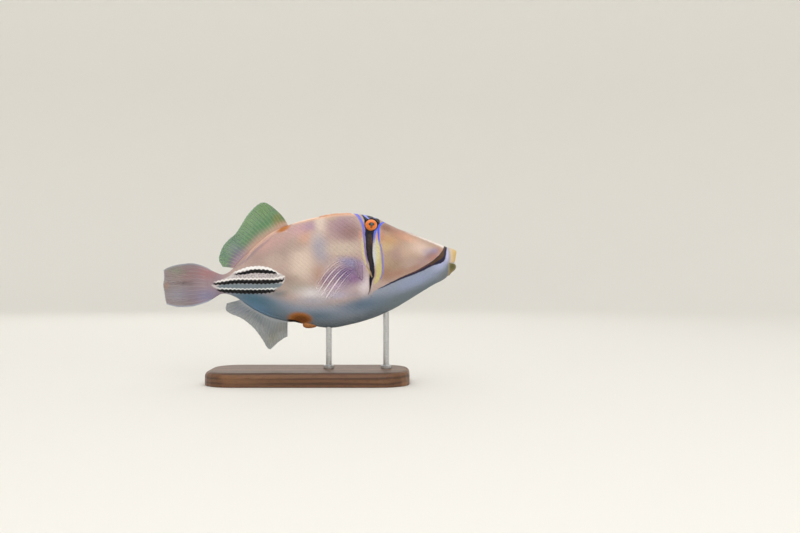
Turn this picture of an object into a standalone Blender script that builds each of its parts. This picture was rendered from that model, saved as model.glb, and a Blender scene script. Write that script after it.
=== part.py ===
"""Red Sea picasso triggerfish, life size, swimming on a plain display stand.

Metres, +Z up, head towards +X. The origin is the centre of the underside of the stand's base.
The body is 203 mm from snout to tail-fin root and 250 mm over all. Its surface is one set of smooth
lines (back, belly, half width) that the head, trunk, tail and fin roots all share.
"""

import bisect
import math

import bmesh
import bpy
from mathutils import Matrix, Vector

MM = 0.001
GAP = 0.3 * MM                       # clearance between neighbouring pieces
RING_POINTS = 40                     # points round a body section

# Joints between head, trunk and tail
GILL_X = 51.7 * MM                   # head and trunk meet here at mid height
GILL_LEAN = -4.3 * MM                # the joint leans back towards the top of the head
GILL_BOW = -4.6 * MM                 # and bows forward at mid height, as the gill opening does
GILL_LEAN_FADES = (34 * MM, 45 * MM)  # sections stand upright again this far in front and behind
TAIL_X = -17.1 * MM                  # trunk and tail meet just in front of the soft fins
TAIL_END = -83.0 * MM                # end of the flesh, root of the tail fin
SNOUT_END = 119.4 * MM               # flat front of the head, behind the lips

# Gill opening, a short slit behind the cheek
GILL_SLIT_DEPTH = 1.7 * MM
GILL_SLIT_WIDTH = 1.3 * MM
GILL_SLIT_LEVEL = -0.29              # middle of the slit, as a share of the half depth
GILL_SLIT_REACH = 0.26

# Eye, set high on the head
EYE_CENTRE = (53.2 * MM, 8.9 * MM, 134.8 * MM)
EYE_RADIUS = 5.9 * MM
EYE_DEPTH = 4.6 * MM                 # half thickness of the flattened ball
EYE_TILT = math.radians(17)          # looks a little upwards
EYE_SIDES = 18
ORBIT_WIDTH = 1.0 * MM               # raised rim of flesh round the ball
ORBIT_FRONT = 2.9 * MM               # rim's height along the eye's axis
ORBIT_ROOT = -3.0 * MM

# Nostrils, two pits a side in front of the eye
NOSTRILS = ((64.8 * MM, 131.2 * MM), (67.6 * MM, 129.8 * MM))
NOSTRIL_RADIUS = 0.55 * MM
NOSTRIL_DEPTH = 1.1 * MM

# Mouth
MOUTH_LEVEL = 102.3 * MM
MOUTH_OPENING = 0.6 * MM

# First dorsal fin, folded into its groove on the back
GROOVE_FRONT = 37.5 * MM
GROOVE_REAR = 7.5 * MM
GROOVE_HALF_WIDTH = 1.9 * MM
GROOVE_DEPTH = 3.4 * MM
FOLDED_SPINES = ((36.4, 12.5, 1.25), (25.0, 9.6, 0.95), (16.0, 8.6, 0.75))  # base x, tip x, radius in mm

# Soft fins
DORSAL_RAYS = 24
ANAL_RAYS = 21
TAIL_RAYS = 12
PECTORAL_RAYS = 13
RAY_HEIGHT = 0.22 * MM               # how far a ray stands out of the membrane, each side
FIN_EDGE = 0.27 * MM                 # half thickness at the free edge
MEMBRANE = 0.36 * MM                 # half thickness near the root
SHEATH = 0.8 * MM                    # extra half thickness of the fleshy fin base
SHEATH_REACH = 0.16                  # share of a ray's length
DORSAL_BOW = 2.0 * MM                # how far the front rays of the dorsal fin bow forward

# Small spines on the tail root, three rows a side
SPINE_HEIGHT = 1.3 * MM
SPINE_RADIUS = 0.95 * MM
SPINE_ROOT = 1.3 * MM                # depth of a spine's foot under the skin
SPINE_SIDES = 5

# Display stand
BASE_LENGTH = 172 * MM
BASE_WIDTH = 84 * MM
BASE_HEIGHT = 12 * MM
BASE_CORNER = 26 * MM
ROD_RADIUS = 2.5 * MM
ROD_SIDES = 16
COLLAR_RADIUS = 4.6 * MM
COLLAR_HEIGHT = 3.0 * MM
ROD_FRONT_X = 66 * MM
ROD_REAR_X = 17 * MM


def smooth(points, unit=MM):
    """A smooth curve through (millimetres, value) points, as a function of metres."""
    xs = [x * MM for x, _ in points]
    ys = [y * unit for _, y in points]
    last = len(xs) - 1
    slopes = []
    for i in range(len(xs)):
        before, after = max(i - 1, 0), min(i + 1, last)
        slopes.append((ys[after] - ys[before]) / (xs[after] - xs[before]))

    def value(x):
        i = min(max(bisect.bisect_right(xs, x) - 1, 0), last - 1)
        step = xs[i + 1] - xs[i]
        t = min(max((x - xs[i]) / step, 0.0), 1.0)
        rise = t * t * (3 - 2 * t)
        start = t * (1 - t) ** 2
        end = t * t * (t - 1)
        return ys[i] + (ys[i + 1] - ys[i]) * rise + step * (slopes[i] * start + slopes[i + 1] * end)

    return value


# Lines of the body from the tail-fin root to the snout, (x, value) in millimetres
back = smooth([
    (-83, 96.0), (-79, 94.2), (-75, 92.8), (-71.5, 93.2), (-66.5, 96.4), (-59, 104.8), (-48.8, 114.2),
    (-41.8, 120.8), (-31.3, 128.8), (-17.3, 135.1), (-3.3, 139.5), (12.4, 143.0), (24.7, 144.7),
    (38.5, 144.9), (47.3, 143.6), (53.7, 142.2), (59, 140.3), (64.5, 137.4), (72.8, 133.4), (77.9, 131.1),
    (95, 125.2), (105.5, 121.2), (115.5, 116.8), (119.4, 115.5),
])
belly = smooth([
    (-83, 70.9), (-79, 73.6), (-75, 75.7), (-71, 75.8), (-66, 74.4), (-60, 71.3), (-48, 62.9),
    (-34.1, 55.9), (-18.3, 51.9), (-12.3, 51.7), (-6.9, 50.4), (-1, 49.7), (4, 48.6), (10, 47.3),
    (20.5, 46.8), (38.5, 50.3), (56.1, 55.6), (73.5, 63.5), (91, 74.0), (105, 82.6), (113, 86.9),
    (117.5, 89.8), (119.4, 91.4),
])
half_width = smooth([
    (-83, 2.0), (-74, 3.4), (-60, 6.0), (-40, 10.2), (-18, 14.0), (0, 16.3), (20, 17.6), (40, 17.9),
    (53, 17.4), (64, 16.2), (75, 14.4), (90, 11.7), (105, 9.0), (114, 7.4), (119.4, 6.4),
])
crown = smooth([                     # how square a section is above mid height
    (-83, 2.3), (-40, 2.2), (20, 2.2), (40, 2.6), (53, 4.0), (62, 3.6), (75, 2.6), (90, 2.3), (119.4, 2.3),
], unit=1.0)
keel = smooth([(-83, 2.3), (-40, 2.1), (60, 2.1), (100, 2.2), (119.4, 2.3)], unit=1.0)
fullness = smooth([                  # 2 is round, less is pinched to a keel along back and belly
    (-83, 1.9), (-60, 1.7), (-20, 1.5), (35, 1.5), (53, 1.9), (75, 1.7), (100, 1.8), (119.4, 2.0),
], unit=1.0)


def ease(t):
    t = min(max(t, 0.0), 1.0)
    return t * t * (3 - 2 * t)


def joint_line(level):
    """Where the head meets the trunk, for a level from -1 at the belly to 1 at the back."""
    return GILL_X + GILL_LEAN * level + GILL_BOW * level * level


def gill_slit(x, level):
    """Depth of the gill opening's groove at a point of the skin."""
    across = (x - joint_line(level)) / GILL_SLIT_WIDTH
    along = (level - GILL_SLIT_LEVEL) / GILL_SLIT_REACH
    if abs(along) >= 1:
        return 0.0
    return GILL_SLIT_DEPTH * math.exp(-across * across) * ease(1.6 * (1 - abs(along)))


def skin_half_width(x, level):
    square = crown(x) if level > 0 else keel(x)
    share = max(1 - abs(level) ** square, 0.0)
    width = half_width(x) * share ** (1 / fullness(x))
    return max(width - gill_slit(x, level), 0.0)


def skin_point(x, level, side):
    middle = (back(x) + belly(x)) / 2
    half_depth = (back(x) - belly(x)) / 2
    return Vector((x, side * skin_half_width(x, level), middle + half_depth * level))


def skin_level(x, z):
    """The level, from -1 to 1, of a height z at x."""
    return (2 * z - back(x) - belly(x)) / (back(x) - belly(x))


def skin_at(x, z, side):
    return skin_point(x, skin_level(x, z), side)


def skin_normal(x, z, side):
    step = 0.5 * MM
    along = skin_at(x + step, z, side) - skin_at(x - step, z, side)
    up = skin_at(x, z + step, side) - skin_at(x, z - step, side)
    normal = along.cross(up).normalized()
    return normal if normal.y * side > 0 else -normal


def body_ring(place_x):
    """Points round one section; place_x gives a point's x from its level."""
    points = []
    for k in range(RING_POINTS):
        angle = 2 * math.pi * k / RING_POINTS
        level = math.sin(angle)
        side = 1 if math.cos(angle) > 0 else -1
        points.append(skin_point(place_x(level), level, side))
    points[RING_POINTS // 4].y = 0.0
    points[3 * RING_POINTS // 4].y = 0.0
    return points


def leaning_x(offset, fades):
    """Sections that follow the gill joint near it and stand upright further off."""
    lean = 1 - ease(abs(offset) / fades)
    return lambda level: GILL_X + offset + lean * (joint_line(level) - GILL_X)


def surface(name, color, roughness, metallic=0.0):
    """A Principled material of one finish."""
    made = bpy.data.materials.new(name)
    made.use_nodes = True
    shader = made.node_tree.nodes["Principled BSDF"]
    shader.inputs["Base Color"].default_value = (*color, 1.0)
    shader.inputs["Roughness"].default_value = roughness
    shader.inputs["Metallic"].default_value = metallic
    return made


SKIN = surface("peach_skin", (0.62, 0.44, 0.36), 0.42)
TAIL_SKIN = surface("tail_skin", (0.60, 0.42, 0.38), 0.42)
LIP = surface("yellow_lip", (0.62, 0.42, 0.12), 0.4)
MEMBRANE_GREEN = surface("dorsal_membrane", (0.30, 0.42, 0.16), 0.35)
MEMBRANE_GREY = surface("anal_membrane", (0.50, 0.52, 0.50), 0.35)
MEMBRANE_PINK = surface("tail_membrane", (0.52, 0.36, 0.38), 0.35)
EYE = surface("orange_eye", (0.80, 0.18, 0.02), 0.12)
PELVIC = surface("pelvic_scales", (0.45, 0.20, 0.05), 0.5)
SPINE = surface("spine", (0.60, 0.36, 0.24), 0.45)
WALNUT = surface("walnut", (0.10, 0.05, 0.025), 0.45)
STEEL = surface("satin_steel", (0.55, 0.56, 0.57), 0.3, 1.0)


def add_object(name, mesh, finish, sharp=math.radians(40)):
    made = bpy.data.objects.new(name, mesh)
    bpy.context.scene.collection.objects.link(made)
    made.data.materials.clear()
    made.data.materials.append(finish)
    made.data.shade_smooth()
    made.data.set_sharp_from_angle(angle=sharp)
    return made


def mesh_from(name, points, faces):
    mesh = bpy.data.meshes.new(name)
    mesh.from_pydata([tuple(p) for p in points], [], faces)
    shape = bmesh.new()
    shape.from_mesh(mesh)
    bmesh.ops.recalc_face_normals(shape, faces=shape.faces)
    shape.to_mesh(mesh)
    shape.free()
    return mesh


def loft(name, rings, flat_ends=False):
    """A closed mesh through rings of equal count, ends closed by a fan or by one flat face."""
    count = len(rings[0])
    points = [p for ring in rings for p in ring]
    faces = []
    for i in range(len(rings) - 1):
        for k in range(count):
            n = (k + 1) % count
            a, b = i * count, (i + 1) * count
            faces.append((a + k, a + n, b + n, b + k))
    ends = ((0, range(count)), ((len(rings) - 1) * count, range(count)))
    for start, ks in ends:
        if flat_ends:
            faces.append(tuple(start + k for k in ks))
            continue
        middle = sum((points[start + k] for k in ks), Vector()) / count
        points.append(middle)
        faces.extend((start + k, start + (k + 1) % count, len(points) - 1) for k in ks)
    return mesh_from(name, points, faces)


def apply_boolean(target, pieces, operation, solver="EXACT"):
    """Joins or cuts target with a collection of closed pieces, which are then removed."""
    group = bpy.data.collections.new(target.name + "_pieces")
    bpy.context.scene.collection.children.link(group)
    for piece in pieces:
        bpy.context.scene.collection.objects.unlink(piece)
        group.objects.link(piece)
    step = target.modifiers.new("Pieces", "BOOLEAN")
    step.operation = operation
    step.operand_type = "COLLECTION"
    step.collection = group
    step.solver = solver
    bpy.context.view_layer.update()
    evaluated = target.evaluated_get(bpy.context.evaluated_depsgraph_get())
    result = bpy.data.meshes.new_from_object(evaluated)
    target.modifiers.clear()
    finish = target.data.materials[0]
    target.data = result
    result.materials.clear()
    result.materials.append(finish)
    for piece in list(group.objects):
        bpy.data.objects.remove(piece, do_unlink=True)
    bpy.data.collections.remove(group)
    keep_largest(target)


def keep_largest(target):
    """Drops all but the largest closed surface of a mesh."""
    shape = bmesh.new()
    shape.from_mesh(target.data)
    left = set(shape.faces)
    bodies = []
    while left:
        body, edge = set(), [left.pop()]
        while edge:
            face = edge.pop()
            body.add(face)
            for near in {f for e in face.edges for f in e.link_faces} & left:
                left.discard(near)
                edge.append(near)
        bodies.append(body)
    bodies.sort(key=lambda body: sum(face.calc_area() for face in body))
    for body in bodies[:-1]:
        bmesh.ops.delete(shape, geom=list(body), context="FACES")
    loose = [v for v in shape.verts if not v.link_faces]
    bmesh.ops.delete(shape, geom=loose, context="VERTS")
    shape.to_mesh(target.data)
    shape.free()
    target.data.shade_smooth()
    target.data.set_sharp_from_angle(angle=math.radians(40))


def eye_matrix(side):
    """The eye's own frame, its Z axis looking out of the head."""
    x, y, z = EYE_CENTRE
    look = Vector((0, side * math.cos(EYE_TILT), math.sin(EYE_TILT)))
    turn = look.to_track_quat("Z", "Y").to_matrix().to_4x4()
    return Matrix.Translation((x, side * y, z)) @ turn


def eyeball(name, side, clearance, finish):
    shape = bmesh.new()
    bmesh.ops.create_uvsphere(shape, u_segments=EYE_SIDES, v_segments=10, radius=1.0)
    radius, depth = EYE_RADIUS + clearance, EYE_DEPTH + clearance
    bmesh.ops.scale(shape, vec=(radius, radius, depth), verts=shape.verts)
    mesh = bpy.data.meshes.new(name)
    shape.to_mesh(mesh)
    shape.free()
    made = add_object(name, mesh, finish)
    made.matrix_world = eye_matrix(side)
    return made


def turned(name, profile, sides, frame, finish):
    """A closed turned piece: (radius, height) pairs, placed by a matrix."""
    rings = []
    for radius, height in profile:
        angles = [2 * math.pi * k / sides for k in range(sides)]
        rings.append([Vector((radius * math.cos(a), radius * math.sin(a), height)) for a in angles])
    made = add_object(name, loft(name, rings), finish)
    made.matrix_world = frame
    return made


def frame_on(point, axis):
    return Matrix.Translation(point) @ axis.to_track_quat("Z", "Y").to_matrix().to_4x4()


def make_head():
    offsets = [0.15, 0.7, 1.5, 2.8, 5, 8, 11.5, 15, 19, 24, 29.5, 35, 41, 47, 53, 58.5, 63, 66]
    fades = GILL_LEAN_FADES[0]
    rings = [body_ring(leaning_x(d * MM, fades)) for d in offsets]
    rings.append(body_ring(lambda level: SNOUT_END))
    head = add_object("head", loft("head", rings), SKIN)
    rims, hollows = [], []
    for side in (-1, 1):
        rim = [
            (EYE_RADIUS + ORBIT_WIDTH + 1.2 * MM, ORBIT_ROOT),
            (EYE_RADIUS + ORBIT_WIDTH, ORBIT_FRONT - 0.8 * MM),
            (EYE_RADIUS + 0.2 * MM, ORBIT_FRONT),
        ]
        rims.append(turned("orbit", rim, EYE_SIDES, eye_matrix(side), SKIN))
        hollows.append(eyeball("socket", side, GAP, SKIN))
        for x, z in NOSTRILS:
            pit = [(NOSTRIL_RADIUS, -NOSTRIL_DEPTH), (NOSTRIL_RADIUS * 1.5, 0.8 * MM)]
            frame = frame_on(skin_at(x, z, side), skin_normal(x, z, side))
            hollows.append(turned("nostril", pit, 8, frame, SKIN))
    apply_boolean(head, rims, "UNION")
    apply_boolean(head, hollows, "DIFFERENCE")
    return head


def groove_mesh():
    """The groove on the back that takes the folded first dorsal fin."""
    rings = []
    steps = 8
    for i in range(steps + 1):
        x = GROOVE_REAR + (GROOVE_FRONT - GROOVE_REAR) * i / steps
        top, floor = back(x) + 3 * MM, back(x) - GROOVE_DEPTH
        width = GROOVE_HALF_WIDTH
        rings.append([
            Vector((x, -width, top)), Vector((x, width, top)),
            Vector((x, width * 0.8, floor)), Vector((x, -width * 0.8, floor)),
        ])
    return loft("groove", rings, flat_ends=True)


def make_torso():
    length = GILL_X - TAIL_X
    fades = GILL_LEAN_FADES[1]
    offsets = [0.15, 0.7, 1.5, 2.8, 5.5, 10, 15.5, 21, 27, 33.5, 40, 46, 52, 57, 62]
    rings = [body_ring(leaning_x(-d * MM, fades)) for d in offsets]
    rings.append(body_ring(leaning_x(-(length - GAP / 2), fades)))
    torso = add_object("torso", loft("torso", rings), SKIN)
    groove = add_object("groove", groove_mesh(), SKIN)
    apply_boolean(torso, [groove], "DIFFERENCE")
    return torso


def spine_row(path, count):
    """Foot points of one row of spines, evenly spaced along a line of (x, z) in millimetres."""
    line = smooth(path)
    first, last = path[0][0] * MM, path[-1][0] * MM
    xs = [first + (last - first) * (i + 0.5) / count for i in range(count)]
    return [(x, line(x)) for x in xs]


SPINE_ROWS = (
    (((-62.8, 92.6), (-52.7, 94.1), (-44.9, 95.3), (-37.1, 95.1), (-26.4, 93.4)), 10),
    (((-81.0, 84.3), (-70.9, 85.3), (-63.1, 86.2), (-42.4, 86.3), (-29.4, 86.5), (-20.3, 88.8)), 16),
    (((-78.0, 79.6), (-65.7, 78.1), (-47.5, 77.9), (-33.0, 78.4), (-27.5, 79.6)), 14),
)


def make_tail():
    stops = [-17.25, -20.5, -25, -30, -35.5, -41, -46, -51, -55.5, -59.5, -63, -66.5, -70, -74, -78.5, -83]
    rings = [body_ring(lambda level, x=x: x * MM) for x in stops]
    tail = add_object("tail", loft("tail", rings), TAIL_SKIN)
    spines = []
    for side in (-1, 1):
        for path, count in SPINE_ROWS:
            for x, z in spine_row(path, count):
                foot = skin_at(x, z, side)
                out = skin_normal(x, z, side)
                lean = (out + Vector((0.55, 0, 0.1))).normalized()
                cone = [(SPINE_RADIUS, -SPINE_ROOT), (SPINE_RADIUS * 0.12, SPINE_HEIGHT)]
                spines.append(turned("spine", cone, SPINE_SIDES, frame_on(foot, lean), TAIL_SKIN))
    apply_boolean(tail, spines, "UNION")
    return tail


def lip_ring(z, reach):
    """One level of a lip: flat behind against the head, round in front."""
    width = skin_at(SNOUT_END, z, 1).y + 0.15 * MM
    rear = SNOUT_END + GAP
    points = []
    steps = 12
    for i in range(steps + 1):
        angle = math.pi * i / steps
        points.append(Vector((rear + reach * math.sin(angle) ** 0.8, width * math.cos(angle), z)))
    return points


def make_lips():
    upper = [
        (0.0, 4.5), (0.8, 5.4), (2.2, 5.9), (4.6, 6.2), (7.0, 6.6), (9.0, 6.8), (10.2, 6.4), (11.2, 4.9),
        (12.1, 2.8), (12.8, 0.9),
    ]
    lower = [
        (0.0, 4.4), (0.7, 5.5), (1.8, 6.2), (3.0, 6.5), (4.6, 6.1), (6.2, 4.8), (7.8, 2.9), (9.3, 1.5),
        (10.3, 0.7),
    ]
    top = MOUTH_LEVEL + MOUTH_OPENING / 2
    bottom = MOUTH_LEVEL - MOUTH_OPENING / 2
    upper_rings = [lip_ring(top + rise * MM, reach * MM) for rise, reach in upper]
    lower_rings = [lip_ring(bottom - drop * MM, reach * MM) for drop, reach in lower]
    add_object("upper_lip", loft("upper_lip", upper_rings, flat_ends=True), LIP)
    add_object("lower_lip", loft("lower_lip", lower_rings, flat_ends=True), LIP)


def make_eyes():
    eyeball("eye_right", -1, 0.0, EYE)
    eyeball("eye_left", 1, 0.0, EYE)


def make_folded_spines():
    """First dorsal fin: three spines folded back into the groove, with their web between them."""
    web_rings = []
    steps = 7
    front, rear = GROOVE_FRONT - 2 * MM, GROOVE_REAR + GAP
    for i in range(steps + 1):
        x = front + (rear - front) * i / steps
        top, floor = back(x) - 0.9 * MM, back(x) - GROOVE_DEPTH + GAP
        width = 0.9 * MM
        web_rings.append([
            Vector((x, -width, top)), Vector((x, width, top)),
            Vector((x, width, floor)), Vector((x, -width, floor)),
        ])
    fin = add_object("dorsal_spines", loft("dorsal_spines", web_rings, flat_ends=True), SPINE)
    rods = []
    for base, tip, radius in FOLDED_SPINES:
        rings = []
        for i in range(6):
            share = i / 5
            x = (base + (tip - base) * share) * MM
            size = radius * MM * (1 - 0.62 * share ** 1.5)
            centre = Vector((x, 0, back(x) + 0.35 * MM - radius * MM))
            ring = []
            for k in range(8):
                angle = 2 * math.pi * k / 8
                ring.append(centre + Vector((0, size * math.cos(angle), size * math.sin(angle))))
            rings.append(ring)
        rods.append(add_object("rod", loft("rod", rings), SPINE))
    apply_boolean(fin, rods, "UNION")


def fin_mesh(name, rays, rows, place, root_half, out=None):
    """A closed fin: columns alternate between a ray and the web beside it.

    place(t, r) gives a point for t across the rays and r from root to edge, root_half(t, r) the half
    thickness of the membrane, and out(t, r) the direction it is thick in. Both faces are split alike.
    """
    columns = 2 * (rays - 1)
    front, rear = [], []
    for j in range(columns + 1):
        t = j / columns
        for i in range(rows + 1):
            r = i / rows
            is_ray = j % 2 == 0
            ridge = RAY_HEIGHT * min(6 * r, 1.0) * (1 - 0.55 * r) if is_ray else 0.0
            half = root_half(t, r) + ridge
            across = out(t, r) if out else Vector((0, 1, 0))
            point = place(t, r)
            front.append(point - across * half)
            rear.append(point + across * half)
    points = front + rear
    shift = len(front)
    faces = []
    step = rows + 1
    for j in range(columns):
        for i in range(rows):
            a = j * step + i
            b, c, d = a + step, a + step + 1, a + 1
            for first, second, third in ((a, b, c), (a, c, d)):
                faces.append((first, second, third))
                faces.append((third + shift, second + shift, first + shift))
    border = [j * step for j in range(columns + 1)]
    border += [columns * step + i for i in range(1, rows + 1)]
    border += [j * step + rows for j in range(columns - 1, -1, -1)]
    border += [i for i in range(rows - 1, 0, -1)]
    for k, a in enumerate(border):
        b = border[(k + 1) % len(border)]
        faces.append((a, a + shift, b + shift))
        faces.append((a, b + shift, b))
    return mesh_from(name, points, faces)


def soft_fin_half(t, r):
    sheath = SHEATH * (1 - ease(r / SHEATH_REACH)) * (1 - 0.5 * t)
    return FIN_EDGE + (MEMBRANE - FIN_EDGE) * (1 - r) + sheath


def track(points):
    """Smooth functions x(t) and z(t) through (t, x, z) points, t from 0 to 1, x and z in millimetres."""
    xs = smooth([(1000 * t, x) for t, x, _ in points])
    zs = smooth([(1000 * t, z) for t, _, z in points])
    return lambda t: Vector((xs(t), 0, zs(t)))


dorsal_tips = track([
    (0, -33.0, 151.6), (0.06, -37.0, 154.0), (0.12, -41.0, 154.2), (0.19, -45.6, 151.3), (0.26, -49.8, 147.2),
    (0.35, -53.7, 142.3), (0.47, -58.2, 134.8),
    (0.58, -62.8, 127.8), (0.68, -68.0, 123.2), (0.78, -73.1, 117.6), (0.87, -76.0, 111.3),
    (0.94, -77.2, 104.9), (1, -74.2, 99.2),
])
anal_tips = track([
    (0, -18.4, 39.3), (0.07, -21.2, 37.9), (0.14, -27.2, 33.6), (0.2, -33.0, 28.4), (0.27, -36.2, 30.2),
    (0.36, -39.2, 35.6), (0.5, -45.4, 44.4), (0.6, -51.0, 50.0), (0.69, -57.0, 54.4), (0.77, -62.4, 57.0),
    (0.84, -67.6, 59.0), (0.92, -71.4, 62.4), (1, -70.6, 67.8),
])


def dorsal_base(t):
    x = (-18.3 - 46.8 * (t + 0.17 * t * (1 - t))) * MM
    return Vector((x, 0, back(x) + GAP))


def anal_base(t):
    x = (-18.3 - 41.2 * (t + 0.10 * t * (1 - t))) * MM
    return Vector((x, 0, belly(x) - GAP))


def make_median_fins():
    def dorsal(t, r):
        bow = DORSAL_BOW * 4 * r * (1 - r) * (1 - t)
        return dorsal_base(t).lerp(dorsal_tips(t), r) + Vector((bow, 0, 0))

    def anal(t, r):
        return anal_base(t).lerp(anal_tips(t), r)

    add_object("dorsal_fin", fin_mesh("dorsal_fin", DORSAL_RAYS, 6, dorsal, soft_fin_half), MEMBRANE_GREEN)
    add_object("anal_fin", fin_mesh("anal_fin", ANAL_RAYS, 6, anal, soft_fin_half), MEMBRANE_GREY)


# Tail fin: upper and lower edges by x, rear edge by height across the fin from 0 (top) to 1 (bottom)
tail_fin_top = smooth([
    (-125.3, 95.7), (-121, 98.3), (-114.4, 100.5), (-105.6, 101.8), (-99, 102.0), (-92.5, 100.5),
    (-86, 97.8), (-83.3, 96.0),
])
tail_fin_bottom = smooth([
    (-125.3, 70.3), (-123, 67.7), (-118.7, 66.0), (-112, 64.7), (-100.4, 65.1), (-94.7, 66.4),
    (-86.8, 68.9), (-83.3, 70.9),
])
tail_fin_rear = smooth([
    (0, -125.2), (150, -124.0), (300, -124.0), (470, -125.2), (620, -123.6), (780, -123.0), (900, -123.8),
    (1000, -125.2),
])


def make_tail_fin():
    root = TAIL_END - GAP

    def place(t, r):
        x = root + (tail_fin_rear(t) - root) * r
        return Vector((x, 0, tail_fin_top(x) + (tail_fin_bottom(x) - tail_fin_top(x)) * t))

    def half(t, r):
        middle = 1 - (2 * t - 1) ** 2
        root_flesh = 1.1 * MM * (1 - ease(r / 0.3)) * middle
        return FIN_EDGE + (MEMBRANE + 0.1 * MM - FIN_EDGE) * (1 - r) + root_flesh

    add_object("caudal_fin", fin_mesh("caudal_fin", TAIL_RAYS, 9, place, half), MEMBRANE_PINK)


PECTORAL_ROOT = ((46.0, 100.6), (45.8, 87.8))                  # x, z of first and last ray, millimetres
PECTORAL_OUT = ((39.0, 103.0), (41.5, 88.0))                   # where the rays have turned backwards
PECTORAL_BEND = ((18.5, 104.5), (33.4, 87.0))                  # where they droop
pectoral_tips = track([
    (0, 7.6, 85.6), (0.25, 7.2, 78.4), (0.5, 11.0, 73.2), (0.75, 18.6, 72.4), (1, 27.4, 77.6),
])


def make_pectoral(name, side):
    def between(pair, t, y):
        (x0, z0), (x1, z1) = pair
        return Vector(((x0 + (x1 - x0) * t) * MM, y, (z0 + (z1 - z0) * t) * MM))

    def place(t, r):
        root = between(PECTORAL_ROOT, t, 0.0)
        root.y = skin_at(root.x, root.z, 1).y + GAP
        out = between(PECTORAL_OUT, t, root.y + 6.5 * MM)
        bend = between(PECTORAL_BEND, t, root.y + 8.5 * MM)
        tip = pectoral_tips(t)
        tip.y = 23.5 * MM - 2.0 * MM * t
        q = 1 - r
        point = root * q ** 3 + out * (3 * q * q * r) + bend * (3 * q * r * r) + tip * r ** 3
        point.y *= side
        return point

    def out(t, r):
        step = 0.01
        along = place(t, min(r + step, 1)) - place(t, max(r - step, 0))
        across = place(min(t + step, 1), r) - place(max(t - step, 0), r)
        if r == 0:                   # the root's face lies along the skin
            along = skin_normal(place(t, 0).x, place(t, 0).z, side)
        return along.cross(across).normalized()

    def half(t, r):
        root_flesh = 0.6 * MM * (1 - ease(r / 0.3))
        return FIN_EDGE + (MEMBRANE - FIN_EDGE) * (1 - r) + root_flesh

    add_object(name, fin_mesh(name, PECTORAL_RAYS, 7, place, half, out), MEMBRANE_PINK)


PELVIC_RINGS = (                     # x, half width, lowest point, millimetres
    (6.6, 0.5, 48.0), (5.2, 1.5, 47.3), (2.8, 2.3, 46.8), (0.0, 2.6, 46.6), (-2.4, 2.4, 46.8),
    (-4.2, 1.7, 47.4), (-5.2, 0.7, 48.3),
)


def make_pelvic_spine():
    """The blunt scaly end of the pelvis, just in front of the vent."""
    rings = []
    for x, width, low in PELVIC_RINGS:
        top = belly(x * MM) - GAP
        depth = (top - low * MM) / 2
        ring = []
        for k in range(12):
            angle = 2 * math.pi * k / 12
            up = math.sin(angle) * depth
            ring.append(Vector((x * MM, width * MM * math.cos(angle), top - depth + up)))
        rings.append(ring)
    add_object("pelvic_spine", loft("pelvic_spine", rings), PELVIC)


def rounded_outline(length, width, corner, height):
    points = []
    steps = 6
    for quarter in range(4):
        sx = 1 if quarter in (0, 3) else -1
        sy = 1 if quarter in (0, 1) else -1
        for i in range(steps + 1):
            angle = math.pi / 2 * (quarter + i / steps)
            x = sx * (length / 2 - corner) + corner * math.cos(angle)
            y = sy * (width / 2 - corner) + corner * math.sin(angle)
            points.append(Vector((x, y, height)))
    return points


def make_base():
    edge = [(0.0, 0.8), (0.8, 0.0), (8.0, 0.0), (9.6, 0.5), (11.0, 1.6), (11.7, 3.0), (12.0, 4.6)]
    rings = []
    for height, inset in edge:
        shrink = inset * MM
        rings.append(rounded_outline(
            BASE_LENGTH - 2 * shrink, BASE_WIDTH - 2 * shrink, BASE_CORNER - shrink, height * MM,
        ))
    add_object("stand_base", loft("stand_base", rings, flat_ends=True), WALNUT)


def make_rod(name, x):
    """A steel rod on a small collar, its top cut to the belly."""
    foot = BASE_HEIGHT + GAP
    rings = []
    for radius, height in ((COLLAR_RADIUS, 0.0), (COLLAR_RADIUS, 2.2), (COLLAR_RADIUS - 0.8 * MM, 3.0)):
        rings.append(circle(x, radius, lambda px, py, h=height: foot + h * MM))
    rings.append(circle(x, ROD_RADIUS, lambda px, py: foot + COLLAR_HEIGHT))
    for share in (1.0, 0.6, 0.25):
        rings.append(circle(x, ROD_RADIUS * share, lambda px, py: under_belly(px, py) - GAP))
    add_object(name, loft(name, rings), STEEL)


def circle(x, radius, height):
    points = []
    for k in range(ROD_SIDES):
        angle = 2 * math.pi * k / ROD_SIDES
        px, py = x + radius * math.cos(angle), radius * math.sin(angle)
        points.append(Vector((px, py, height(px, py))))
    return points


def under_belly(x, y):
    """Height of the belly's skin over a point of the floor."""
    share = min(abs(y) / half_width(x), 1.0)
    level = -max(1 - share ** fullness(x), 0.0) ** (1 / keel(x))
    return skin_point(x, level, 1).z


def main():
    for old in list(bpy.data.objects):
        bpy.data.objects.remove(old, do_unlink=True)
    make_head()
    make_torso()
    make_tail()
    make_lips()
    make_eyes()
    make_folded_spines()
    make_median_fins()
    make_tail_fin()
    make_pectoral("pectoral_fin_right", -1)
    make_pectoral("pectoral_fin_left", 1)
    make_pelvic_spine()
    make_base()
    make_rod("stand_rod_front", ROD_FRONT_X)
    make_rod("stand_rod_rear", ROD_REAR_X)


main()
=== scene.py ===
"""Looks of a life-size Red Sea picasso triggerfish on its display stand.

Shapes are worked out in millimetres, +X towards the snout, +Z up, +Y to the fish's left, and become
metres as each mesh is made. The skin, scales, spines and fins share the body lines below.
"""

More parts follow.
